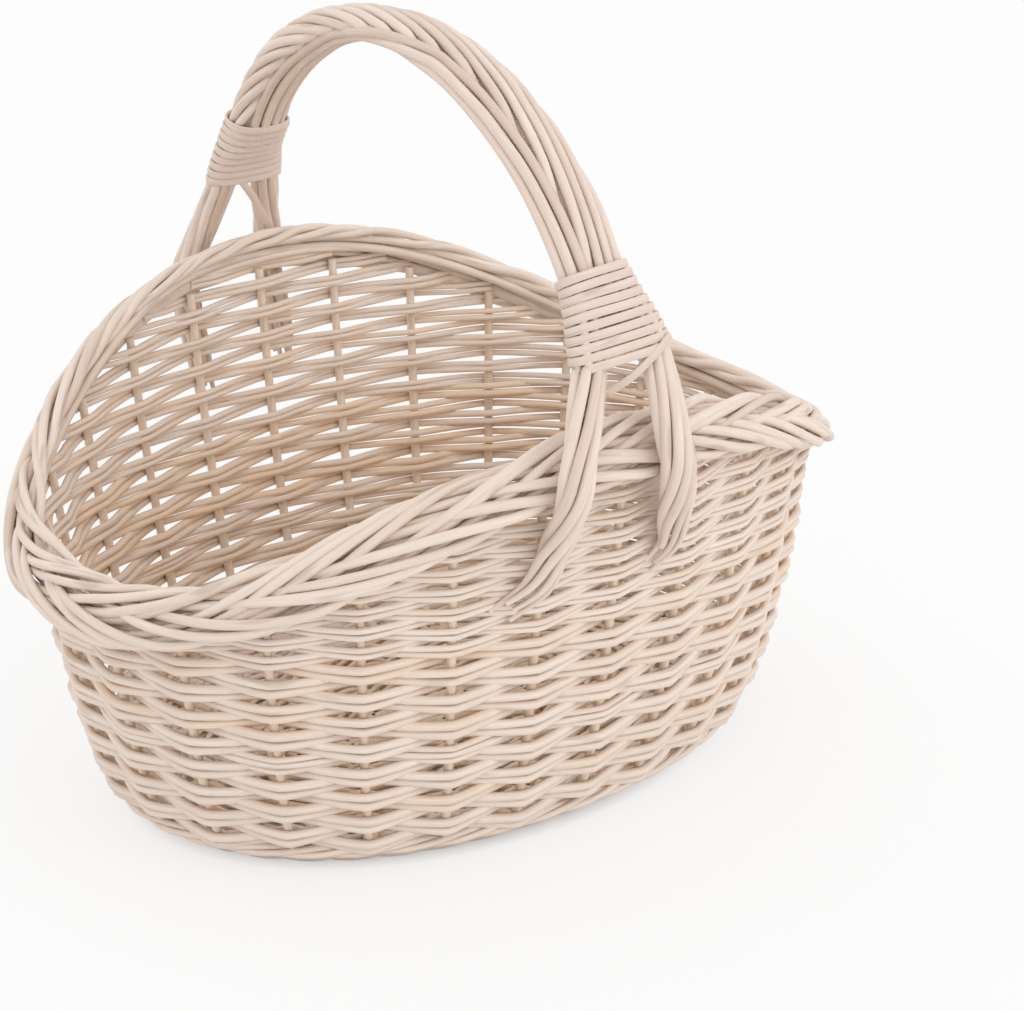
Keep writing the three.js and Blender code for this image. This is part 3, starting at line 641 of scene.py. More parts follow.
@dataclass
class Stakes:
    """Upright stakes that the wall is woven on."""

    form: WallForm
    bench: RodBench
    radius: float = 0.0020
    lead: float = 0.006
    lift: float = 0.0075
    bend_share: float = 0.25
    foot_rise: float = 0.0005
    top_below_rim: float = 0.006
    wall_stops: int = 9
    stop_power: float = 1.5
    steps: int = 44
    taper: tuple[float, float] = (1.06, 0.16)
    swell: tuple[float, float] = (0.02, 14)
    shade: tuple[float, float] = (0.52, 0.16)
    # Painted shade on the stakes' faces toward the inside of the basket.
    inner_painted_shade: float = 0.10

    def build(self) -> None:
        """Bend every stake out of the base and up the wall."""
        for index in range(self.form.stake_count):
            path = self.path(index)
            share = np.linspace(0, 1, len(path))
            swell = self.swell[0] * np.sin(self.swell[1] * share + index)
            radius = self.radius * (self.taper[0] - self.taper[1] * share + swell)
            tone = self.bench.tone(*self.shade)
            rod = Rod(path, radius, tone=tone, sides=FINE_SIDES, inner_painted_shade=self.inner_painted_shade)
            self.bench.make(f"stake_{index + 1:02d}", [rod], Willow.STAKE)

    def path(self, index: int) -> np.ndarray:
        """Run of one stake from the base to the border.

        Args:
            index: Which stake, counted from the middle of the far side.

        Returns:
            Points along the stake.
        """
        form = self.form
        angle = form.stake_angle(index)
        edge = form.oval(form.base_half_length, form.base_half_width, angle)
        outward = form.oval_normal(form.base_half_length, form.base_half_width, angle)
        bend = self.bend_share * form.flare_out(angle)
        foot = [edge - outward * self.lead, edge + outward * bend]
        foot[0][2] = self.lift
        foot[1][2] = self.lift + self.foot_rise
        top = form.rim_height(angle) - self.top_below_rim
        share = np.linspace(0, 1, self.wall_stops) ** self.stop_power
        heights = form.bend_top + (top - form.bend_top) * share
        wall = form.point(np.full(self.wall_stops, float(angle)), heights)
        return curve_through(np.vstack([foot, wall]), self.steps)


@dataclass
class Weave:
    """Bands of thin rods that run in front of one stake and behind the next."""

    form: WallForm
    bench: RodBench
    rows: int = 15
    first_height: float = 0.0162
    pitch: float = 0.00605
    stake_radius: float = 0.0019
    near_sharpness: float = 0.996
    far_sharpness: float = 0.965
    steps_per_stake: int = 10
    pair_radius: float = 0.00190
    triple_radius: float = 0.00130
    pair_range: tuple[float, float] = (0.93, 1.06)
    triple_range: tuple[float, float] = (0.95, 1.06)
    packing_range: tuple[float, float] = (0.95, 1.10)
    pair_stagger: float = 0.25
    triple_stagger: tuple[float, float] = (-0.3, 0.5)
    triple_middle: float = 1.05
    packing_stagger: float = 0.2
    pair_share: float = 0.85
    far_thinning: float = 0.16
    loose_power: int = 3
    near_dip: float = 0.0007
    packing_start: float = 0.1062
    reach_steps: int = 651
    far_packing: tuple[float, float] = (0.0060, 0.00150)
    near_packing: tuple[float, float] = (0.00425, 0.00126)
    border_cover: float = 0.0035
    tuck_length: float = 0.45
    tuck_out: float = 0.0030
    tuck_up: float = 0.0006
    near_fullness: tuple[float, float] = (1.05, 0.15)
    far_fullness: tuple[float, float] = (0.84, -0.04)
    knot_height: float = 0.00028
    ride_height: float = 0.00030
    rod_height: float = 0.00016
    swing_share: float = 0.04
    thickness_share: float = 0.03
    shade: tuple[float, float] = (0.60, 0.09)
    # Painted shade on the faces toward the inside of the basket, for the full rounds and for the packing.
    row_painted_shade: float = 0.34
    packing_painted_shade: float = 0.22

    def build(self) -> None:
        """Weave the full rounds and then the packing on both long sides."""
        count = self.form.stake_count
        whole = np.arange(count * self.steps_per_stake) / self.steps_per_stake
        for row in range(self.rows):
            z = self.first_height + row * self.pitch
            rods = self.course(whole, z, row, self.band())
            self.bench.make(f"weave_row_{row + 1:02d}", rods, Willow.WEAVER)
        sides = (("packing_far", 0, self.far_packing), ("packing_near", count // 2, self.near_packing))
        for name, middle, (pitch, radius) in sides:
            self.bench.make(name, self.packing(middle, pitch, radius), Willow.WEAVER)

    def band(self) -> list[tuple[float, float, float]]:
        """Draw the rods of one band, two or three of them.

        Returns:
            Lift, stagger and thickness of each rod.
        """
        if self.bench.chance.random() < self.pair_share:
            thin, thick = self.bench.chance.uniform(*self.pair_range, 2) * self.pair_radius
            return [(-thin, -self.pair_stagger * thin, thin), (thick, self.pair_stagger * thick, thick)]
        slim = self.triple_radius * self.bench.chance.uniform(*self.triple_range)
        outer, inner = self.triple_stagger
        low, high = ((lift * slim, outer * slim, slim) for lift in (-2, 2))
        return [low, (0.0, inner * slim, self.triple_middle * slim), high]

    def swing(self, stake: np.ndarray, row: int) -> np.ndarray:
        """Way in and out of the weave, from straight runs with a bend at each stake.

        Args:
            stake: Places round the wall, counted in stakes.
            row: Which row.

        Returns:
            Shares of the full depth, outward positive.
        """
        wave = np.cos(math.pi * (stake + row))
        sharp, round_ = (
            np.arcsin(share * wave) / math.asin(share) for share in (self.near_sharpness, self.far_sharpness)
        )
        far = 0.5 + 0.5 * np.sin(self.form.stake_angle(stake))
        return sharp + (round_ - sharp) * far

    def course(
        self, stake: np.ndarray, z: float, row: int, band: list[tuple[float, float, float]]
    ) -> list[Rod]:
        """Rods of one full course of weaving.

        Args:
            stake: Places along the course, counted in stakes.
            z: Height of the course.
            row: Number of the course, which sets front and behind.
            band: Lift, stagger and thickness of its rods.

        Returns:
            The rods of the course.
        """
        return [
            Rod(*run, True, self.bench.tone(*self.shade), inner_painted_shade=self.row_painted_shade)
            for run in self.runs(stake, z, row, band)
        ]

    def runs(
        self, stake: np.ndarray, z: float, row: int, band: list[tuple[float, float, float]]
    ) -> list[tuple[np.ndarray, np.ndarray]]:
        """Paths and thicknesses of the rods in one course, full over near stakes, tight at far ones.

        Args:
            stake: Places along the course, counted in stakes.
            z: Height of the course.
            row: Number of the course, which sets front and behind.
            band: Lift, stagger and thickness of its rods.

        Returns:
            Path and thickness of each rod.
        """
        count = self.form.stake_count
        turns = stake / count
        angle = self.form.stake_angle(stake)
        at, outward, up = self.form.axes(angle, np.full_like(stake, z))
        swing = self.swing(stake, row)
        knots = self.bench.chance.normal(0, self.knot_height, count + 1)
        knots[-1] = knots[0]
        ride_up = self.bench.sway(turns, self.ride_height)
        ride_up = ride_up + np.interp(stake % count, np.arange(count + 1), knots)
        far = 0.5 + 0.5 * np.sin(angle)
        loose = far**self.loose_power
        near_full, far_full = (
            base + more * np.abs(swing) for base, more in (self.near_fullness, self.far_fullness)
        )
        fullness = (1 - loose) * near_full + loose * far_full
        runs = []
        for lift, stagger, radius in band:
            thin = radius * (1 - self.far_thinning * loose)
            out = swing * (self.stake_radius + thin)
            out = out * (1 + self.bench.sway(turns, self.swing_share))
            out = out + stagger * (1 - np.abs(swing))
            rise = lift * fullness + ride_up + self.bench.sway(turns, self.rod_height)
            rise = rise - self.near_dip * (1 - far) * swing
            path = at + outward * out[:, None] + up * rise[:, None]
            runs.append((path, thin * (1 + self.bench.sway(turns, self.thickness_share))))
        return runs

    def packing(self, middle: int, pitch: float, radius: float) -> list[Rod]:
        """Short courses of thin rods that fill one long side, their ends tucked up into the border.

        Args:
            middle: The stake in the middle of the side.
            pitch: Step from course to course.
            radius: Radius of the rods.

        Returns:
            The rods of the packing.
        """
        half = np.linspace(0, self.form.stake_count / 4, self.reach_steps)
        rim = self.form.rim_height(self.form.stake_angle(half))
        rods: list[Rod] = []
        z, row = self.packing_start, self.rows
        while z + self.border_cover < self.form.side_rim_height:
            reach = float(half[rim >= z + self.border_cover].max())
            stake = middle + np.linspace(-reach, reach, int(2 * reach * self.steps_per_stake) + 2)
            slim = radius * self.bench.chance.uniform(*self.packing_range)
            band = [(side * slim, side * self.packing_stagger * slim, slim) for side in (-1, 1)]
            tuck = ease(1 - (reach - np.abs(stake - middle)) / self.tuck_length)
            _, outward, up = self.form.axes(self.form.stake_angle(stake), np.full_like(stake, z))
            aside = outward * (self.tuck_out * tuck)[:, None] + up * (self.tuck_up * tuck)[:, None]
            for path, thick in self.runs(stake, z, row, band):
                tone = self.bench.tone(*self.shade)
                rods.append(Rod(path + aside, thick, False, tone, inner_painted_shade=self.packing_painted_shade))
            z += pitch
            row += 1
        return rods


@dataclass
class PlaitedBorder:
    """Flat plait of twelve rods rolled over the rim on a lining of rods that run along it."""

    form: WallForm
    bench: RodBench
    half_length: float = 0.170
    half_width: float = 0.132
    pitches: int = 4
    strands: int = 3
    rods_per_strand: int = 4
    swing: float = 0.0116
    sharpness: float = 0.93
    layer: float = 0.0021
    rod_radius: float = 0.00195
    roll_radius: float = 0.017
    tilt: float = math.radians(35)
    steps: int = 336
    lining_rods: int = 5
    lining_depth: float = 0.0054
    lining_pitch: float = 0.0036
    lining_wander: float = 0.0030
    lining_waves: int = 5
    tip_place: float = 0.42
    tip_narrowing: float = 0.36
    tip_lift: float = 0.0022
    tip_sharpness: float = 0.15
    left_spread: float = 0.0030
    left_sharpness: float = 0.2
    roll_back: float = 0.88
    layer_sharpness: float = 2.2
    lining_swell: float = 0.0009
    phase_start: float = 1 / 12
    phase_sway: float = 0.20
    phase_spread: float = 0.14
    width_range: tuple[float, float] = (0.86, 1.05)
    width_sway: float = 0.0004
    depth_sway: float = 0.0003
    radius_range: tuple[float, float] = (0.90, 1.08)
    radius_swell: float = 0.10
    shade: tuple[float, float] = (0.52, 0.2)
    lining_sway: float = 0.0005
    lining_shade: tuple[float, float] = (0.5, 0.2)

    def build(self) -> None:
        """Lay the lining along the rim and plait the rods over it."""
        for strand in range(self.strands):
            rods = [self.plaited(strand, k) for k in range(self.rods_per_strand)]
            rods += [self.lining(k) for k in range(strand, self.lining_rods, self.strands)]
            self.bench.make(f"border_strand_{strand + 1:02d}", rods, Willow.BORDER)

    def plaited(self, strand: int, place: int) -> Rod:
        """One rod of the plait: it goes straight across, turns at the edge and comes back.

        Args:
            strand: Which strand it belongs to.
            place: Which rod of the strand.

        Returns:
            The rod, a closed round.
        """
        share = np.arange(self.steps) / self.steps
        lane = (place - (self.rods_per_strand - 1) / 2) / (self.strands * self.rods_per_strand)
        phase = TAU * (self.pitches * share + self.phase_start + strand / self.strands + lane)
        phase = phase + self.bench.sway(share, self.phase_sway)
        phase = phase + self.bench.chance.normal(0, self.phase_spread)
        across = np.arcsin(self.sharpness * np.sin(phase)) / math.asin(self.sharpness)
        wide = self.swing * self.bench.chance.uniform(*self.width_range) * across
        wide = wide + self.bench.sway(share, self.width_sway)
        deep = self.layer * np.tanh(self.layer_sharpness * np.sin(2 * phase))
        deep = deep + self.bench.sway(share, self.depth_sway)
        radius = self.rod_radius * self.bench.chance.uniform(*self.radius_range)
        thick = radius * (1 + self.radius_swell * np.sin(TAU * (share + self.bench.chance.random())))
        return Rod(self.rolled(share, wide, deep), thick, True, self.bench.tone(*self.shade), FINE_SIDES)

    def lining(self, index: int) -> Rod:
        """One rod that runs along the rim under the plait.

        Args:
            index: Which of the lining rods.

        Returns:
            The rod, a closed round.
        """
        share = np.arange(self.steps) / self.steps
        middle = (index - (self.lining_rods - 1) / 2) * self.lining_pitch
        wander = TAU * (self.lining_waves * share + index / self.lining_rods)
        wide = middle + self.lining_wander * np.sin(wander) + self.bench.sway(share, self.lining_sway)
        deep = -self.lining_depth + self.lining_swell * np.cos(wander)
        deep = deep + self.bench.sway(share, self.depth_sway)
        return Rod(self.rolled(share, wide, deep), self.rod_radius, True, self.bench.tone(*self.lining_shade))

    def rolled(self, share: np.ndarray, wide: np.ndarray, deep: np.ndarray) -> np.ndarray:
        """Points of the plait, bent over the rim.

        Args:
            share: Shares of the round.
            wide: Distances across the plait, upward positive.
            deep: Distances out of the plait's middle layer.

        Returns:
            Points, one per share.
        """
        angle = self.form.angle_at(share)
        centre = self.middle(angle)
        small = self.form.small_angle
        along = unit(self.middle(angle + small) - self.middle(angle - small))
        outward = self.form.oval_normal(self.half_length, self.half_width, angle)
        rise = unit(np.cross(outward, along))
        across = rise * math.cos(self.tilt) - outward * math.sin(self.tilt)
        through = outward * math.cos(self.tilt) + rise * math.sin(self.tilt)
        tip = np.exp(-((1 - np.cos(angle + self.tip_place)) / self.tip_sharpness))
        wide = wide * (1 - self.tip_narrowing * tip) + self.tip_lift * tip
        bend = wide / self.roll_radius
        reach = self.roll_radius + deep
        sideways = (reach * np.sin(bend))[:, None]
        forward = (reach * np.cos(bend) - self.roll_back * self.roll_radius)[:, None]
        return centre + across * sideways + through * forward

    def middle(self, angle: np.ndarray) -> np.ndarray:
        """Middle of the plait.

        Args:
            angle: Parameter angles round the rim.

        Returns:
            Points, one per angle.
        """
        at = self.form.oval(self.half_length, self.half_width, angle)
        at[..., 0] -= self.left_spread * np.exp(-(1 + np.cos(angle)) / self.left_sharpness)
        at[..., 2] = self.form.rim_height(angle)
        return at


@dataclass(frozen=True)
class LegCourse:
    """Course of one leg of the handle: its fork, the places it passes on the wall, and its rods."""

    fork: float
    stops: tuple[tuple[float, float, float], ...]
    rods: int
    half_width: float
    half_depth: float = 0.0029
    belly: float = 0.0
    fan: float = 0.0
    turn: float = 0.12


@dataclass
class HoopHandle:
    """Flat handle of rods wound round a straight group, forking into two legs at each foot."""

    form: WallForm
    bench: RodBench
    offset: float = -0.005
    half_span: float = 0.133
    spring_height: float = 0.185
    rise: float = 0.1225
    sag: float = 0.0044
    binding_top: float = 0.245
    binding_bottom: float = 0.214
    wound_strands: int = 3
    wound_rods: int = 13
    straight_rods: int = 4
    rod_radius: float = 0.00200
    near_half: tuple[float, float] = (0.0150, 0.0066)
    far_half: tuple[float, float] = (0.0130, 0.0098)
    deepen: tuple[float, float] = (0.52, 0.85)
    turns: float = 0.85
    twist_start: float = 0.55
    seam_along: tuple[float, ...] = (0.0, 0.4, 0.6, 0.75, 1.0)
    seam_round: tuple[float, ...] = (0.31, 0.34, 0.50, 0.58, 0.61)
    sink_margin: float = 0.030
    sink_width: float = 0.05
    sink_depth: float = 1.5
    arch_steps: int = 120
    binding_steps: int = 11
    leg_steps: int = 47
    closing: float = 0.3
    tip_span: tuple[float, float] = (0.7, 0.3)
    least_leg_points: int = 41
    leg_lengths: int = 7
    leg_drift: float = 0.012
    leg_swell: float = 0.10
    leg_taper: float = 0.60
    taper_span: tuple[float, float] = (0.55, 0.45)
    uneven: float = 0.0003
    radius_range: tuple[float, float] = (0.93, 1.05)
    shade: tuple[float, float] = (0.55, 0.18)
    core_span: tuple[float, float] = (-0.06, 1.06)
    core_steps: int = 70
    core_spread: float = 0.42
    core_inset: float = 0.003
    core_cover: float = 1.9
    core_tone: float = 0.2
    legs: dict[tuple[End, Leg], LegCourse] = field(default_factory=lambda: {
        (End.NEAR, Leg.LEFT): LegCourse(-0.0137, (
            (-0.0326, 0.1845, 0.0172), (-0.0352, 0.1665, 0.0186), (-0.0362, 0.1445, 0.0098),
            (-0.0400, 0.1290, 0.0062), (-0.0525, 0.1160, 0.0008)), 6, 0.0052, 0.0034, fan=0.30, turn=0.60),
        (End.NEAR, Leg.RIGHT): LegCourse(0.0168, (
            (0.0088, 0.1845, 0.0165), (0.0118, 0.1665, 0.0178), (0.0190, 0.1445, 0.0098),
            (0.0215, 0.1310, 0.0062), (0.0165, 0.1195, 0.0006)), 7, 0.0046, 0.0034, belly=0.32, turn=0.45),
        (End.FAR, Leg.LEFT): LegCourse(-0.0112, (
            (-0.0185, 0.1845, 0.0172), (-0.0260, 0.1665, 0.0186), (-0.0290, 0.1445, 0.0098),
            (-0.0295, 0.1300, 0.0064), (-0.0310, 0.1200, 0.0016)), 7, 0.0048, 0.0033, turn=0.35),
        (End.FAR, Leg.RIGHT): LegCourse(0.0104, (
            (0.0150, 0.1845, 0.0165), (0.0148, 0.1665, 0.0178), (0.0132, 0.1445, 0.0098),
            (0.0125, 0.1330, 0.0064), (0.0120, 0.1240, 0.0016)), 6, 0.0044, 0.0032, turn=0.35),
    })

    def build(self) -> None:
        """Wind the rods over the arch and bring them down both feet."""
        for strand in range(self.wound_strands):
            group = [k for k in range(self.wound_rods) if k * self.wound_strands // self.wound_rods == strand]
            self.bench.make(f"handle_strand_{strand + 1:02d}", map(self.rod, group), Willow.HANDLE)
        straight = range(self.wound_rods, self.wound_rods + self.straight_rods)
        inner = chain(map(self.rod, straight), map(self.core, (-1, 0, 1)))
        self.bench.make("handle_strand_04", inner, Willow.HANDLE)

    def arch(self, turn: np.ndarray) -> np.ndarray:
        """Middle of the plain arch.

        Args:
            turn: Turns along the arch, from the near foot to the far one.

        Returns:
            Points, one per turn.
        """
        y = -self.half_span * np.cos(turn)
        z = self.spring_height + self.rise * np.sin(turn)
        return np.stack([np.full_like(y, self.offset), y, z], axis=-1)

    def arch_normal(self, turn: np.ndarray) -> np.ndarray:
        """Directions out of the arch."""
        y, z = -self.rise * np.cos(turn), self.half_span * np.sin(turn)
        return unit(np.stack([np.zeros_like(turn), y, z], axis=-1))

    def turn_at(self, z: float) -> float:
        """Turn along the near half of the arch at a height."""
        return math.asin((z - self.spring_height) / self.rise)

    def span_turn(self, share: np.ndarray) -> np.ndarray:
        """Turns along the arch from the top of the near binding to the top of the far one."""
        top = self.turn_at(self.binding_top)
        return top + (math.pi - 2 * top) * share

    def sag_at(self, share: np.ndarray) -> np.ndarray:
        """How far the handle stands out of the plain arch: in at the near side, out at the far one."""
        return -self.sag * np.cos(math.pi * share) * (1 - share**4)

    def binding_turn(self, share: np.ndarray, end: End) -> np.ndarray:
        """Turns along the arch inside a binding.

        Args:
            share: Shares of the way from the top of the binding to the fork.
            end: Which foot.

        Returns:
            Turns, one per share.
        """
        top, low = self.turn_at(self.binding_top), self.turn_at(self.binding_bottom)
        turn = top + (low - top) * np.asarray(share, float)
        return turn if end is End.NEAR else math.pi - turn

    def binding_middle(self, share: np.ndarray, end: End) -> np.ndarray:
        """Middle of the rods inside a binding.

        Args:
            share: Shares of the way from the top of the binding to the fork.
            end: Which foot.

        Returns:
            Points, one per share.
        """
        turn = self.binding_turn(share, end)
        sag = self.sag_at(0.0 if end is End.NEAR else 1.0) * (1 - np.asarray(share, float))
        return self.arch(turn) + self.arch_normal(turn) * sag[..., None]

    @staticmethod
    def even_turn(share: np.ndarray, flatness: float) -> np.ndarray:
        """Angles that step evenly round a flat oval.

        Args:
            share: Shares of the girth, from the oval's right side upward.
            flatness: Width of the oval over its depth.

        Returns:
            Parameter angles.
        """
        angle = np.linspace(0, TAU, 361)
        step = np.hypot(flatness * np.diff(np.cos(angle)), np.diff(np.sin(angle)))
        run = np.concatenate([[0], np.cumsum(step)])
        return np.interp(np.asarray(share) % 1.0, run / run[-1], angle)

    def half_axes(self, share: np.ndarray) -> tuple[np.ndarray, np.ndarray]:
        """Size of the handle's section.

        Args:
            share: Shares of the way over the arch.

        Returns:
            Half widths and half depths.
        """
        blend = ease((share - self.deepen[0]) / (self.deepen[1] - self.deepen[0]))
        near, far = self.near_half, self.far_half
        return near[0] + (far[0] - near[0]) * blend, near[1] + (far[1] - near[1]) * blend

    def lay(self, index: int, share: np.ndarray) -> tuple[np.ndarray, np.ndarray]:
        """Way of a rod round the handle.

        Args:
            index: Which rod; the straight ones come last.
            share: Shares of the way over the arch.

        Returns:
            Shares of the girth, and how far the rod lies under the straight group.
        """
        share = np.asarray(share, float)
        wide, deep = self.half_axes(share)
        girth = math.pi * (1.5 * (wide + deep - 2 * self.rod_radius) - np.sqrt(wide * deep))
        slot = 2 * self.rod_radius / girth
        seam = np.interp(share, self.seam_along, self.seam_round)
        if index >= self.wound_rods:
            return seam + (index - self.wound_rods + 0.5) * slot, np.zeros_like(share)
        twist = self.turns * (self.twist_start * share + (1 - self.twist_start) * share**2)
        round_share = index / self.wound_rods - twist
        half = 0.5 * self.straight_rods * slot
        aside = np.abs((round_share - seam - half + 0.5) % 1.0 - 0.5)
        return round_share, ease((half + self.sink_margin - aside) / self.sink_width)

    def place(self, index: int, share: np.ndarray) -> tuple[np.ndarray, np.ndarray]:
        """Place of a rod in the handle's section.

        Args:
            index: Which rod.
            share: Shares of the way over the arch.

        Returns:
            Distances lengthwise and out of the arch.
        """
        share = np.asarray(share, float)
        round_share, sunk = self.lay(index, share)
        blend = ease((share - self.deepen[0]) / (self.deepen[1] - self.deepen[0]))
        near = self.even_turn(round_share, self.near_half[0] / self.near_half[1])
        far = self.even_turn(round_share, self.far_half[0] / self.far_half[1])
        turn = near + (far - near) * blend
        wide, deep = self.half_axes(share)
        wide, deep = wide - self.rod_radius, deep - self.rod_radius
        across, out = np.cos(turn) / wide, np.sin(turn) / deep
        inward = self.sink_depth * self.rod_radius * sunk / np.hypot(across, out)
        return wide * np.cos(turn) - across * inward, deep * np.sin(turn) - out * inward

    def slots(self, end: End) -> dict[int, tuple[Leg, float]]:
        """Legs of the rods at one foot; the rods that lie deepest stop inside the binding.

        Args:
            end: Which foot.

        Returns:
            Leg of each rod that goes on, and its place round the leg as a share of its girth.
        """
        at = 0.0 if end is End.NEAR else 1.0
        count = self.wound_rods + self.straight_rods
        left, right = self.legs[end, Leg.LEFT], self.legs[end, Leg.RIGHT]
        deepest = sorted(range(count), key=lambda k: float(self.lay(k, at)[1]))
        kept = sorted(deepest[: left.rods + right.rods], key=lambda k: float(self.place(k, at)[0]))
        found: dict[int, tuple[Leg, float]] = {}
        for leg, rods in ((Leg.LEFT, kept[: left.rods]), (Leg.RIGHT, kept[left.rods :])):
            spots = np.array([self.place(k, at) for k in rods], float)
            around = np.arctan2(*(spots - spots.mean(axis=0)).T[::-1])
            order = np.argsort(around)
            for step, k in enumerate(order):
                found[rods[k]] = (leg, step / len(rods) + float(around[order[0]]) / TAU)
        return found

    def bundle(self, index: int, share: np.ndarray, end: End) -> tuple[np.ndarray, np.ndarray]:
        """Place of a rod inside a binding.

        Args:
            index: Which rod.
            share: Shares of the way from the top of the binding to the fork.
            end: Which foot.

        Returns:
            Distances lengthwise and out of the arch.
        """
        x, lift = self.place(index, 0.0 if end is End.NEAR else 1.0)
        slot = self.slots(end).get(index)
        if slot is None:
            return x * (1 - self.closing * share), lift * (1 - self.closing * share)
        course = self.legs[end, slot[0]]
        wide, deep = self.leg_place(course, slot[1], np.zeros(1))
        blend = ease(share)
        return x * (1 - blend) + (course.fork + wide) * blend, lift * (1 - blend) + deep * blend

    def leg_place(self, course: LegCourse, slot: float, share: np.ndarray) -> tuple[np.ndarray, np.ndarray]:
        """Place of a rod in its leg: the rods turn a little round each other and fan out at the tip.

        Args:
            course: Course of the leg.
            slot: Place of the rod round the leg.
            share: Shares of the way down the leg.

        Returns:
            Distances along the leg's width and out of its middle.
        """
        turn = self.even_turn(slot + course.turn * ease(share), course.half_width / course.half_depth)
        tip = ease((share - self.tip_span[0]) / self.tip_span[1])
        belly = course.belly * np.sin(math.pi * np.clip(share, 0, 1))
        wide = course.half_width * (1 + belly + course.fan * tip)
        return wide * np.cos(turn), course.half_depth * (1 - 0.5 * tip) * np.sin(turn)

    def rod(self, index: int) -> Rod:
        """One rod of the handle, from the tip of its near leg to the tip of its far leg.

        Args:
            index: Which rod.

        Returns:
            The rod.
        """
        share = np.linspace(0, 1, self.arch_steps)
        turn = self.span_turn(share)
        loose = np.sin(math.pi * share)
        x, lift = self.place(index, share)
        x = x + self.bench.sway(share, self.uneven) * loose
        lift = lift + self.bench.sway(share, self.uneven) * loose + self.sag_at(share)
        over = self.arch(turn) + LENGTHWISE * x[:, None] + self.arch_normal(turn) * lift[:, None]
        near, near_thick = self.foot(index, End.NEAR)
        far, far_thick = self.foot(index, End.FAR)
        path = np.vstack([near[::-1], over, far])
        own = self.rod_radius * self.bench.chance.uniform(*self.radius_range)
        thick = own * np.concatenate([near_thick[::-1], np.ones(len(over)), far_thick])
        return Rod(path, thick, False, self.bench.tone(*self.shade), FINE_SIDES)

    def foot(self, index: int, end: End) -> tuple[np.ndarray, np.ndarray]:
        """Run of a rod through a binding and down its leg.

        Args:
            index: Which rod.
            end: Which foot.

        Returns:
            Points from the top of the binding to the tip, and the share of full thickness at each.
        """
        slot = self.slots(end).get(index)
        share = np.linspace(0, 1 if slot else 0.5, self.binding_steps)[1:]
        turn = self.binding_turn(share, end)
        x, lift = self.bundle(index, share, end)
        wound = self.binding_middle(share, end) + LENGTHWISE * x[:, None]
        wound = wound + self.arch_normal(turn) * lift[:, None]
        if slot is None:
            return wound, np.linspace(1, 0.5, len(wound))
        course = self.legs[end, slot[0]]
        middle = self.leg_middle(course, end)
        share = np.linspace(0, 1, len(middle))
        angle = end.value * np.arccos(np.clip(middle[:, 0] / self.form.rim_half_length, -1, 1))
        outward = self.form.oval_normal(self.form.rim_half_length, self.form.rim_half_width, angle)
        across = np.cross(outward, UPWARD) * end.value
        along = unit(np.gradient(middle, axis=0))
        up = unit(np.cross(across, along) * end.value)
        side = np.cross(along, up) * end.value
        drift = self.bench.sway(share * 0.4, self.leg_drift) * ease(4 * share)
        wide, deep = self.leg_place(course, slot[1] + drift, share)
        down = middle + side * wide[:, None] + up * deep[:, None]
        kept = self.least_leg_points + (index * 5 + (3 if end is End.FAR else 0)) % self.leg_lengths
        thick = 1 + self.leg_swell * ease(5 * share)
        thick = thick - self.leg_taper * ease((share - self.taper_span[0]) / self.taper_span[1])
        return np.vstack([wound, down[1:kept]]), np.concatenate([np.ones(len(wound)), thick[1:kept]])

    def leg_middle(self, course: LegCourse, end: End) -> np.ndarray:
        """Middle of a leg, from the fork over the border and down the wall to its tip.

        Args:
            course: Course of the leg.
            end: Which foot.

        Returns:
            Points along the leg.
        """
        stops = [self.binding_middle(1.0, end) + LENGTHWISE * course.fork]
        for x, z, reach in course.stops:
            stops.append(self.beside(x, z, end, reach))
        return curve_through(np.array(stops), self.leg_steps)

    def beside(self, x: float, z: float, end: End, reach: float) -> np.ndarray:
        """Point held off the wall on one long side.

        Args:
            x: Place along the basket.
            z: Height.
            end: Which long side.
            reach: Distance off the wall.

        Returns:
            The point.
        """
        length, width = float(self.form.half_length(z)), float(self.form.half_width(z))
        angle = end.value * np.arccos(bowed(x / length, self.form.oval_power / 2))
        at = self.form.oval(length, width, angle) + self.form.oval_normal(length, width, angle) * reach
        at[2] = z
        return at

    def core(self, place: int) -> Rod:
        """One of three rods in the middle of the handle, under the wound ones.

        Args:
            place: Which rod, left, middle or right.

        Returns:
            The rod.
        """
        share = np.linspace(*self.core_span, self.core_steps)
        turn = self.span_turn(share)
        wide, deep = self.half_axes(share)
        lift = self.sag_at(np.clip(share, 0, 1))
        middle = self.arch(turn) + self.arch_normal(turn) * lift[:, None]
        middle = middle + LENGTHWISE * (place * self.core_spread * (wide - self.core_inset))[:, None]
        return Rod(middle, deep - self.core_cover * self.rod_radius, False, self.core_tone)


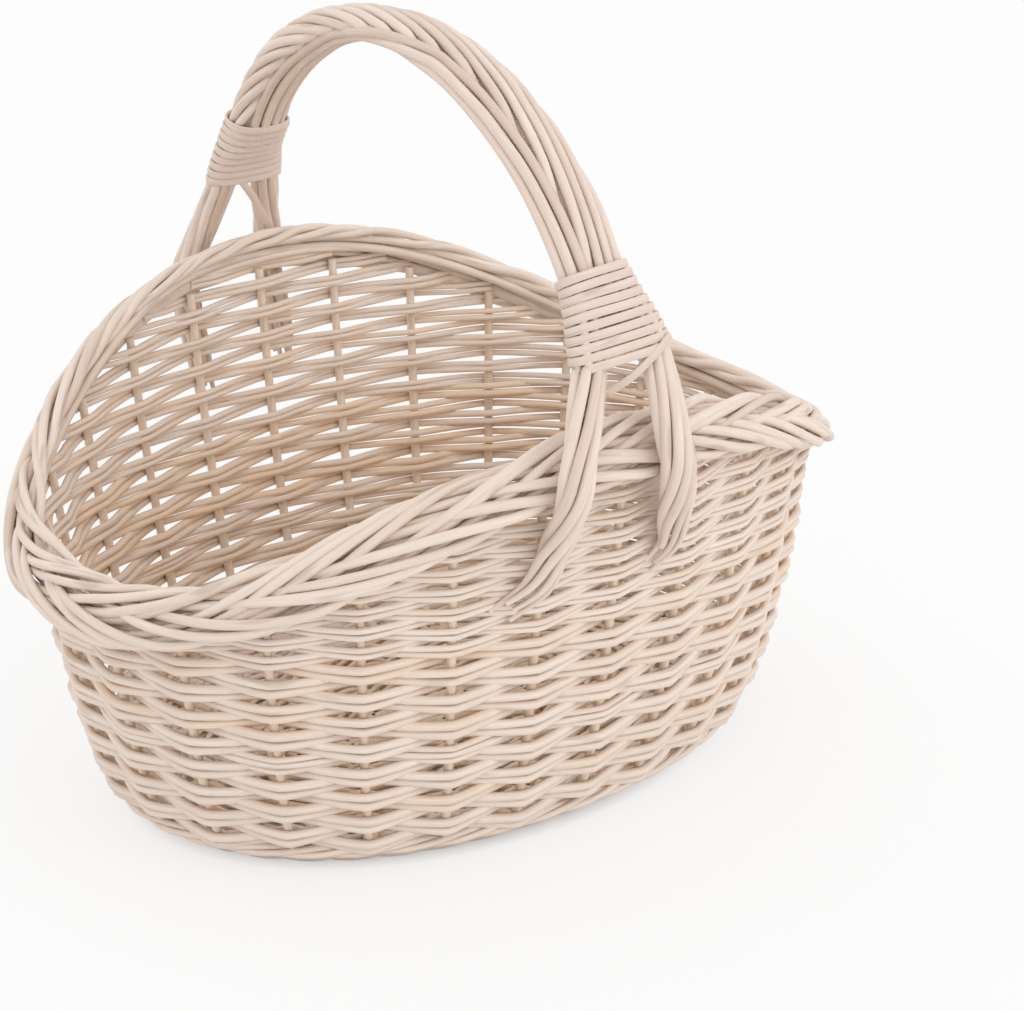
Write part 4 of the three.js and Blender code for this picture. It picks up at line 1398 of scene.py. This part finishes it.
@dataclass
class Bindings:
    """Flat skein wound round both handle feet, with its tail tucked between the legs."""

    handle: HoopHandle
    bench: RodBench
    loops: float = 9.3
    steps: int = 36
    half_thickness: float = 0.00062
    half_height: float = 0.00170
    hug_power: float = 0.8
    clearance: float = 0.0001
    start_turn: float = 0.6
    uneven: float = 0.006
    tail_steps: int = 26
    tail_share: float = 0.95
    tails: dict[End, tuple[tuple[float, float, float], ...]] = field(default_factory=lambda: {
        End.NEAR: (
            (0.0218, 0.0044, -0.0042), (0.0148, 0.0060, -0.0004), (0.0078, 0.0056, 0.0036),
            (0.0008, 0.0040, 0.0076), (-0.0066, -0.0010, 0.0116),
        ),
        End.FAR: (
            (-0.0050, 0.0060, -0.0030), (0.0005, 0.0062, 0.0045), (0.0055, 0.0056, 0.0120),
            (0.0105, 0.0046, 0.0195), (0.0125, 0.0030, 0.0235),
        ),
    })

    def build(self) -> None:
        """Wind both bindings."""
        for name, end in (("binding_near", End.NEAR), ("binding_far", End.FAR)):
            laid = [self.winding(end), self.tail(end)]
            self.bench.gather(f"willow_{name}", laid, Willow.SKEIN, name)

    def hug(self, share: np.ndarray, end: End) -> tuple[np.ndarray, np.ndarray, np.ndarray]:
        """Oval that goes round all the rods inside a binding.

        Args:
            share: Shares of the way down the binding.
            end: Which foot.

        Returns:
            Places of its middle lengthwise, half widths and half depths.
        """
        rods = list(self.handle.slots(end))
        places = [self.handle.bundle(k, share, end) for k in rods]
        spare = self.handle.rod_radius + self.half_thickness + self.clearance
        left = np.min([x for x, _ in places], axis=0)
        right = np.max([x for x, _ in places], axis=0)
        deep = np.max([np.abs(y) for _, y in places], axis=0) + spare
        return (left + right) / 2, (right - left) / 2 + spare, deep

    def winding(self, end: End) -> bpy.types.Object:
        """The wound skein of one foot.

        Args:
            end: Which foot.

        Returns:
            Its mesh object.
        """
        count = int(self.loops * self.steps)
        share = np.linspace(0, 1, count + 1)
        wind = TAU * self.loops * share + self.start_turn
        uneven = self.bench.sway(share * 4, self.uneven)
        place = np.clip(share + uneven * (share * (1 - share)) * 4, 0, 1)
        turn = self.handle.binding_turn(place, end)
        middle, wide, deep = self.hug(place, end)
        x = wide * bowed(np.cos(wind), self.hug_power)
        y = deep * bowed(np.sin(wind), self.hug_power)
        normal = self.handle.arch_normal(turn)
        if end is End.FAR:
            normal = unit(normal * np.array([1.0, 1.0, 0.2]))
        stations = self.handle.binding_middle(place, end)
        stations = stations + LENGTHWISE * (middle + x)[:, None] + normal * y[:, None]
        across = unit(LENGTHWISE * (x / wide**2)[:, None] + normal * (y / deep**2)[:, None])
        up = np.cross(normal, LENGTHWISE)
        return self.bench.wind(stations, across, up, (self.half_thickness, self.half_height))

    def tail(self, end: End) -> bpy.types.Object:
        """The end of the skein, led down in front of the fork and in between the legs.

        Args:
            end: Which foot.

        Returns:
            Its mesh object.
        """
        turn = self.handle.binding_turn(1.0, end)
        at = self.handle.arch(turn)
        out = self.handle.arch_normal(turn)
        down = np.cross(out, LENGTHWISE)
        down = down if down[2] < 0 else -down
        face_out = -float(end.value)
        stops = [
            at + LENGTHWISE * side + out * (lift * face_out) + down * low
            for side, lift, low in self.tails[end]
        ]
        stations = curve_through(np.array(stops), self.tail_steps)
        along = unit(np.gradient(stations, axis=0))
        face = unit(out * face_out - along * (along @ (out * face_out))[:, None])
        up = unit(np.cross(along, face))
        half = (self.half_thickness, self.tail_share * self.half_height)
        return self.bench.wind(stations, face, up, half)


@dataclass
class FootWale:
    """Lines of three rods twisted together under the bend of the stakes, which the basket stands on."""

    form: WallForm
    bench: RodBench
    rod_radius: float = 0.00130
    rods_per_line: int = 3
    twist_share: float = 1.155
    steps: int = 312
    bend_share: float = 0.25
    wall_lines: tuple[tuple[float, float, int], ...] = (
        (0.0003, 0.0110, 1), (-0.0038, 0.0088, -1), (-0.0077, 0.0066, 1),
    )
    floor_lines: tuple[tuple[float, float, int], ...] = (
        (0.0040, 0.0003, 1), (-0.0016, 0.0, -1), (-0.0072, 0.0, 1), (-0.0128, 0.0, -1),
    )
    slack: float = 0.995
    shade: tuple[float, float] = (0.58, 0.09)

    def build(self) -> None:
        """Twist the lines round the foot."""
        share = np.arange(self.steps) / self.steps
        angle = self.form.angle_at(share)
        wall = self.form.flare_out(angle)
        bend = self.bend_share * wall
        reach = (1 + self.twist_share) * self.rod_radius
        lines = [(wall + out, z, hand) for out, z, hand in self.wall_lines]
        lines += [(bend + out, reach + z, hand) for out, z, hand in self.floor_lines]
        rods = (
            self.twisted(share, angle, *line, partner)
            for line in lines
            for partner in range(self.rods_per_line)
        )
        self.bench.make("foot_wale", rods, Willow.WEAVER)

    def twisted(
        self, share: np.ndarray, angle: np.ndarray, out: np.ndarray, z: float, hand: int, partner: int
    ) -> Rod:
        """One rod of a twisted line.

        Args:
            share: Shares of the round.
            angle: Parameter angles round the base.
            out: Distances of the line outside the base oval.
            z: Height of the line's middle.
            hand: Which way the line is twisted.
            partner: Which rod of the line.

        Returns:
            The rod, a closed round.
        """
        form = self.form
        edge = form.oval(form.base_half_length, form.base_half_width, angle)
        outward = form.oval_normal(form.base_half_length, form.base_half_width, angle)
        phase = hand * TAU * share * form.stake_count / 2 + TAU * partner / self.rods_per_line
        twist = self.twist_share * self.rod_radius
        path = edge + outward * (out + twist * np.cos(phase))[:, None]
        path[:, 2] = z + twist * np.sin(phase)
        return Rod(path, self.rod_radius * self.slack, True, self.bench.tone(*self.shade))


@dataclass
class BaseWork:
    """Crossed base sticks with rods woven round them, over one and under the next."""

    form: WallForm
    bench: RodBench
    height: float = 0.0074
    stick_radius: float = 0.0022
    stick_inset: float = 0.0066
    cross_sticks: int = 5
    long_sticks: int = 3
    cross_share: float = 0.179
    long_spacing: float = 0.008
    fan_start_share: float = 0.455
    fan_spread_share: float = 0.375
    filler_share: float = 0.43
    rounds: int = 4
    round_inset: float = 0.018
    round_pitch: float = 0.011
    rod_radius: float = 0.00122
    rods_per_round: int = 4
    rod_pitch: float = 0.00272
    inmost_start: float = 0.0068
    inmost_rods: int = 3
    filler_rows: tuple[float, ...] = (-1.6, -0.5, 0.5, 1.6)
    stick_shade: tuple[float, float] = (0.45, 0.15)
    rod_shade: tuple[float, float] = (0.45, 0.2)
    stick_steps: int = 40
    ring_steps: int = 720
    ring_start: float = 0.0013

    def build(self) -> None:
        """Lay the sticks and weave the rounds of the base."""
        sticks = self.sticks()
        rods = (
            Rod(
                curve_through(path, self.stick_steps), self.stick_radius, False,
                self.bench.tone(*self.stick_shade), FINE_SIDES,
            )
            for path in sticks + self.fillers()
        )
        self.bench.make("base_slath", rods, Willow.BASE)
        count = 0
        for row in range(self.rounds):
            middle = self.round_inset + row * self.round_pitch
            first = -1 if row == 0 else 0
            half = (self.rods_per_round - 1) / 2
            spots = [(k - half) * self.rod_pitch for k in range(first, self.rods_per_round)]
            if row == self.rounds - 1:
                spots += [self.inmost_start + self.rod_pitch * k for k in range(self.inmost_rods)]
            rods = (self.woven(middle + spot, count + k, sticks) for k, spot in enumerate(spots))
            self.bench.make(f"base_row_{row + 1:02d}", rods, Willow.BASE)
            count += len(spots)

    def sticks(self) -> list[np.ndarray]:
        """Lay out the base sticks: straight ones across, fanned ones lengthwise.

        Returns:
            Middle of each stick.
        """
        form = self.form
        half_length = form.base_half_length - self.stick_inset
        half_width = form.base_half_width - self.stick_inset
        power = form.oval_power
        paths = []
        for k in range(self.cross_sticks):
            x = (k - (self.cross_sticks - 1) / 2) * self.cross_share * form.base_half_length
            y = half_width * (1 - abs(x / half_length) ** power) ** (1 / power)
            paths.append(np.array([[x, -y, self.height], [x, 0, self.height], [x, y, self.height]]))
        start = self.fan_start_share * form.base_half_length
        for k in range(self.long_sticks):
            place = k - (self.long_sticks - 1) / 2
            y, spread = place * self.long_spacing, place * self.fan_spread_share * form.base_half_width
            tip = half_length * (1 - abs(spread / half_width) ** power) ** (1 / power)
            across = [(-tip, spread), (-start, y), (0, y), (start, y), (tip, spread)]
            paths.append(np.array([[x, side, self.height] for x, side in across]))
        return paths

    def fillers(self) -> list[np.ndarray]:
        """Lay out the short straight rods that close the slath between its long sticks.

        Returns:
            Middle of each rod.
        """
        half = self.filler_share * self.form.base_half_length
        return [
            np.array([[x, row * self.long_spacing, self.height] for x in (-half, 0.0, half)])
            for row in self.filler_rows
        ]

    def woven(self, inset: float, count: int, sticks: list[np.ndarray]) -> Rod:
        """One rod woven round the base.

        Args:
            inset: Distance inside the base oval.
            count: Number of the rod, which sets over and under.
            sticks: Middles of the base sticks.

        Returns:
            The rod, a closed round.
        """
        form = self.form
        angle = np.linspace(0, TAU, self.ring_steps, endpoint=False) + self.ring_start
        ring = form.oval(form.base_half_length - inset, form.base_half_width - inset, angle)
        run = run_along(ring)
        girth = run[-1] + np.linalg.norm(ring[0] - ring[-1])
        stops = []
        for path in sticks:
            for a, b in zip(path, path[1:]):
                along = unit((b - a)[:2])
                aside = (ring[:, :2] - a[:2]) @ np.array([-along[1], along[0]])
                ahead = (ring[:, :2] - a[:2]) @ along
                change = np.sign(aside) != np.sign(np.roll(aside, -1))
                inside = (ahead >= 0) & (ahead < np.linalg.norm(b - a))
                stops += list(run[change & inside])
        stops = np.sort(stops)
        side = np.where((np.arange(len(stops)) + count) % 2 == 0, 1.0, -1.0)
        marks = np.concatenate([[stops[-1] - girth], stops, [stops[0] + girth]])
        sides = np.concatenate([[side[-1]], side, [side[0]]])
        k = np.clip(np.searchsorted(marks, run) - 1, 0, len(marks) - 2)
        part = (run - marks[k]) / (marks[k + 1] - marks[k])
        lift = sides[k] + (sides[k + 1] - sides[k]) * ease(part)
        path = ring.copy()
        path[:, 2] = self.height + lift * (self.stick_radius + self.rod_radius)
        return Rod(path[::2], self.rod_radius, True, self.bench.tone(*self.rod_shade))


@dataclass
class Studio:
    """Pale floor, soft lamps and the camera."""

    azimuth: float = math.radians(-36.75)
    elevation: float = math.radians(24.39)
    distance: float = 1.3649
    aim: tuple[float, float, float] = (0.0, 0.0, 0.1105)
    shift_right: float = 0.03366
    shift_up: float = -0.00434
    lens: float = 116.0
    lamps: tuple[tuple[str, tuple[float, float, float], float, float], ...] = (
        ("key_lamp", (0.8, -1.9, 1.2), 1.6, 9.0),
        ("fill_lamp", (-1.9, -1.0, 1.3), 1.8, 1.0),
        ("back_lamp", (-0.4, 1.8, 1.6), 1.6, 4.0),
    )
    lamp_target: tuple[float, float, float] = (0.0, 0.0, 0.12)
    sensor_width: float = 36.0
    floor_size: float = 24
    floor_roughness: float = 0.9
    floor_colour: tuple[float, float, float, float] = (0.86, 0.855, 0.85, 1)
    floor_glow: float = 0.75
    shade_half: tuple[float, float] = (0.142, 0.099)
    shade_edge: float = 0.84

    def build(self) -> None:
        """Set up the floor, the lamps, the world and the camera."""
        self.floor()
        for name, place, size, power in self.lamps:
            self.lamp(name, place, size, power)
        self.world()
        self.camera()
        bpy.context.scene.view_settings.view_transform = "Standard"

    def floor(self) -> None:
        """A wide pale floor that shows white and keeps the soft shadow."""
        bpy.ops.object.select_all(action="DESELECT")
        bpy.ops.mesh.primitive_plane_add(size=self.floor_size, location=(0, 0, 0))
        floor = bpy.context.object
        floor.name = "studio_floor"
        paint = bpy.data.materials.new("studio_white")
        paint.use_nodes = True
        tree = paint.node_tree
        matt = tree.nodes["Principled BSDF"]
        feed(tree, matt, {
            "Base Color": self.floor_colour, "Roughness": self.floor_roughness, "Specular IOR Level": 0.0,
        })
        glow = lay_node(tree, "Emission", {"Strength": 1.0})
        ray = lay_node(tree, "LightPath")
        spot = lay_node(tree, "TexCoord")
        scale = (1 / self.shade_half[0], 1 / self.shade_half[1], 0.0)
        oval = lay_node(tree, "Mapping", {"Vector": spot.outputs["Object"], "Scale": scale})
        reach = lay_node(tree, "VectorMath", {0: oval.outputs["Vector"]}, operation="LENGTH")
        clear = lay_node(tree, "MapRange", {
            "Value": reach.outputs["Value"], "From Min": self.shade_edge, "To Max": self.floor_glow,
        })
        seen = lay_node(
            tree, "Math", {0: ray.outputs["Is Camera Ray"], 1: clear.outputs["Result"]}, operation="MULTIPLY"
        )
        mix = lay_node(
            tree, "MixShader", {"Fac": seen.outputs[0], 1: matt.outputs["BSDF"], 2: glow.outputs["Emission"]}
        )
        feed(tree, tree.nodes["Material Output"], {"Surface": mix.outputs["Shader"]})
        floor.data.materials.append(paint)

    def lamp(self, name: str, place: tuple[float, float, float], size: float, power: float) -> None:
        """A soft square lamp turned to the basket.

        Args:
            name: Name of the lamp.
            place: Where it stands.
            size: Length of its sides.
            power: Its power in watts.
        """
        bpy.ops.object.select_all(action="DESELECT")
        bpy.ops.object.light_add(type="AREA", location=place)
        lamp = bpy.context.object
        lamp.name = name
        lamp.data.size = size
        lamp.data.energy = power
        toward = np.array(self.lamp_target) - np.array(place)
        tilt = math.atan2(math.hypot(toward[0], toward[1]), -toward[2])
        lamp.rotation_euler = (tilt, 0, math.atan2(toward[1], toward[0]) - math.pi / 2)

    @staticmethod
    def world() -> None:
        """White surroundings that light softly and show as white."""
        world = bpy.data.worlds.new("studio_world")
        bpy.context.scene.world = world
        world.use_nodes = True
        tree = world.node_tree
        feed(tree, tree.nodes["Background"], {"Color": (1, 1, 1, 1), "Strength": 1.0})

    def camera(self) -> None:
        """The camera at the photograph's angle."""
        a, e = self.azimuth, self.elevation
        back = np.array([math.sin(a) * math.cos(e), -math.cos(a) * math.cos(e), math.sin(e)])
        right = np.array([math.cos(a), math.sin(a), 0.0])
        up = np.cross(back, right)
        place = np.array(self.aim) + right * self.shift_right + up * self.shift_up + back * self.distance
        bpy.ops.object.select_all(action="DESELECT")
        bpy.ops.object.camera_add(location=place.tolist(), rotation=(math.pi / 2 - e, 0, a))
        camera = bpy.context.object
        camera.name = "studio_camera"
        camera.data.lens = self.lens
        camera.data.sensor_width = self.sensor_width
        bpy.context.scene.camera = camera


def main() -> None:
    """Build the basket piece by piece and set up the studio."""
    logging.basicConfig(level=logging.INFO, format="%(message)s")
    form = WallForm()
    bench = RodBench()
    handle = HoopHandle(form, bench)
    Studio().build()
    Stakes(form, bench).build()
    Weave(form, bench).build()
    PlaitedBorder(form, bench).build()
    handle.build()
    Bindings(handle, bench).build()
    FootWale(form, bench).build()
    BaseWork(form, bench).build()


if __name__ == "__main__":
    main()
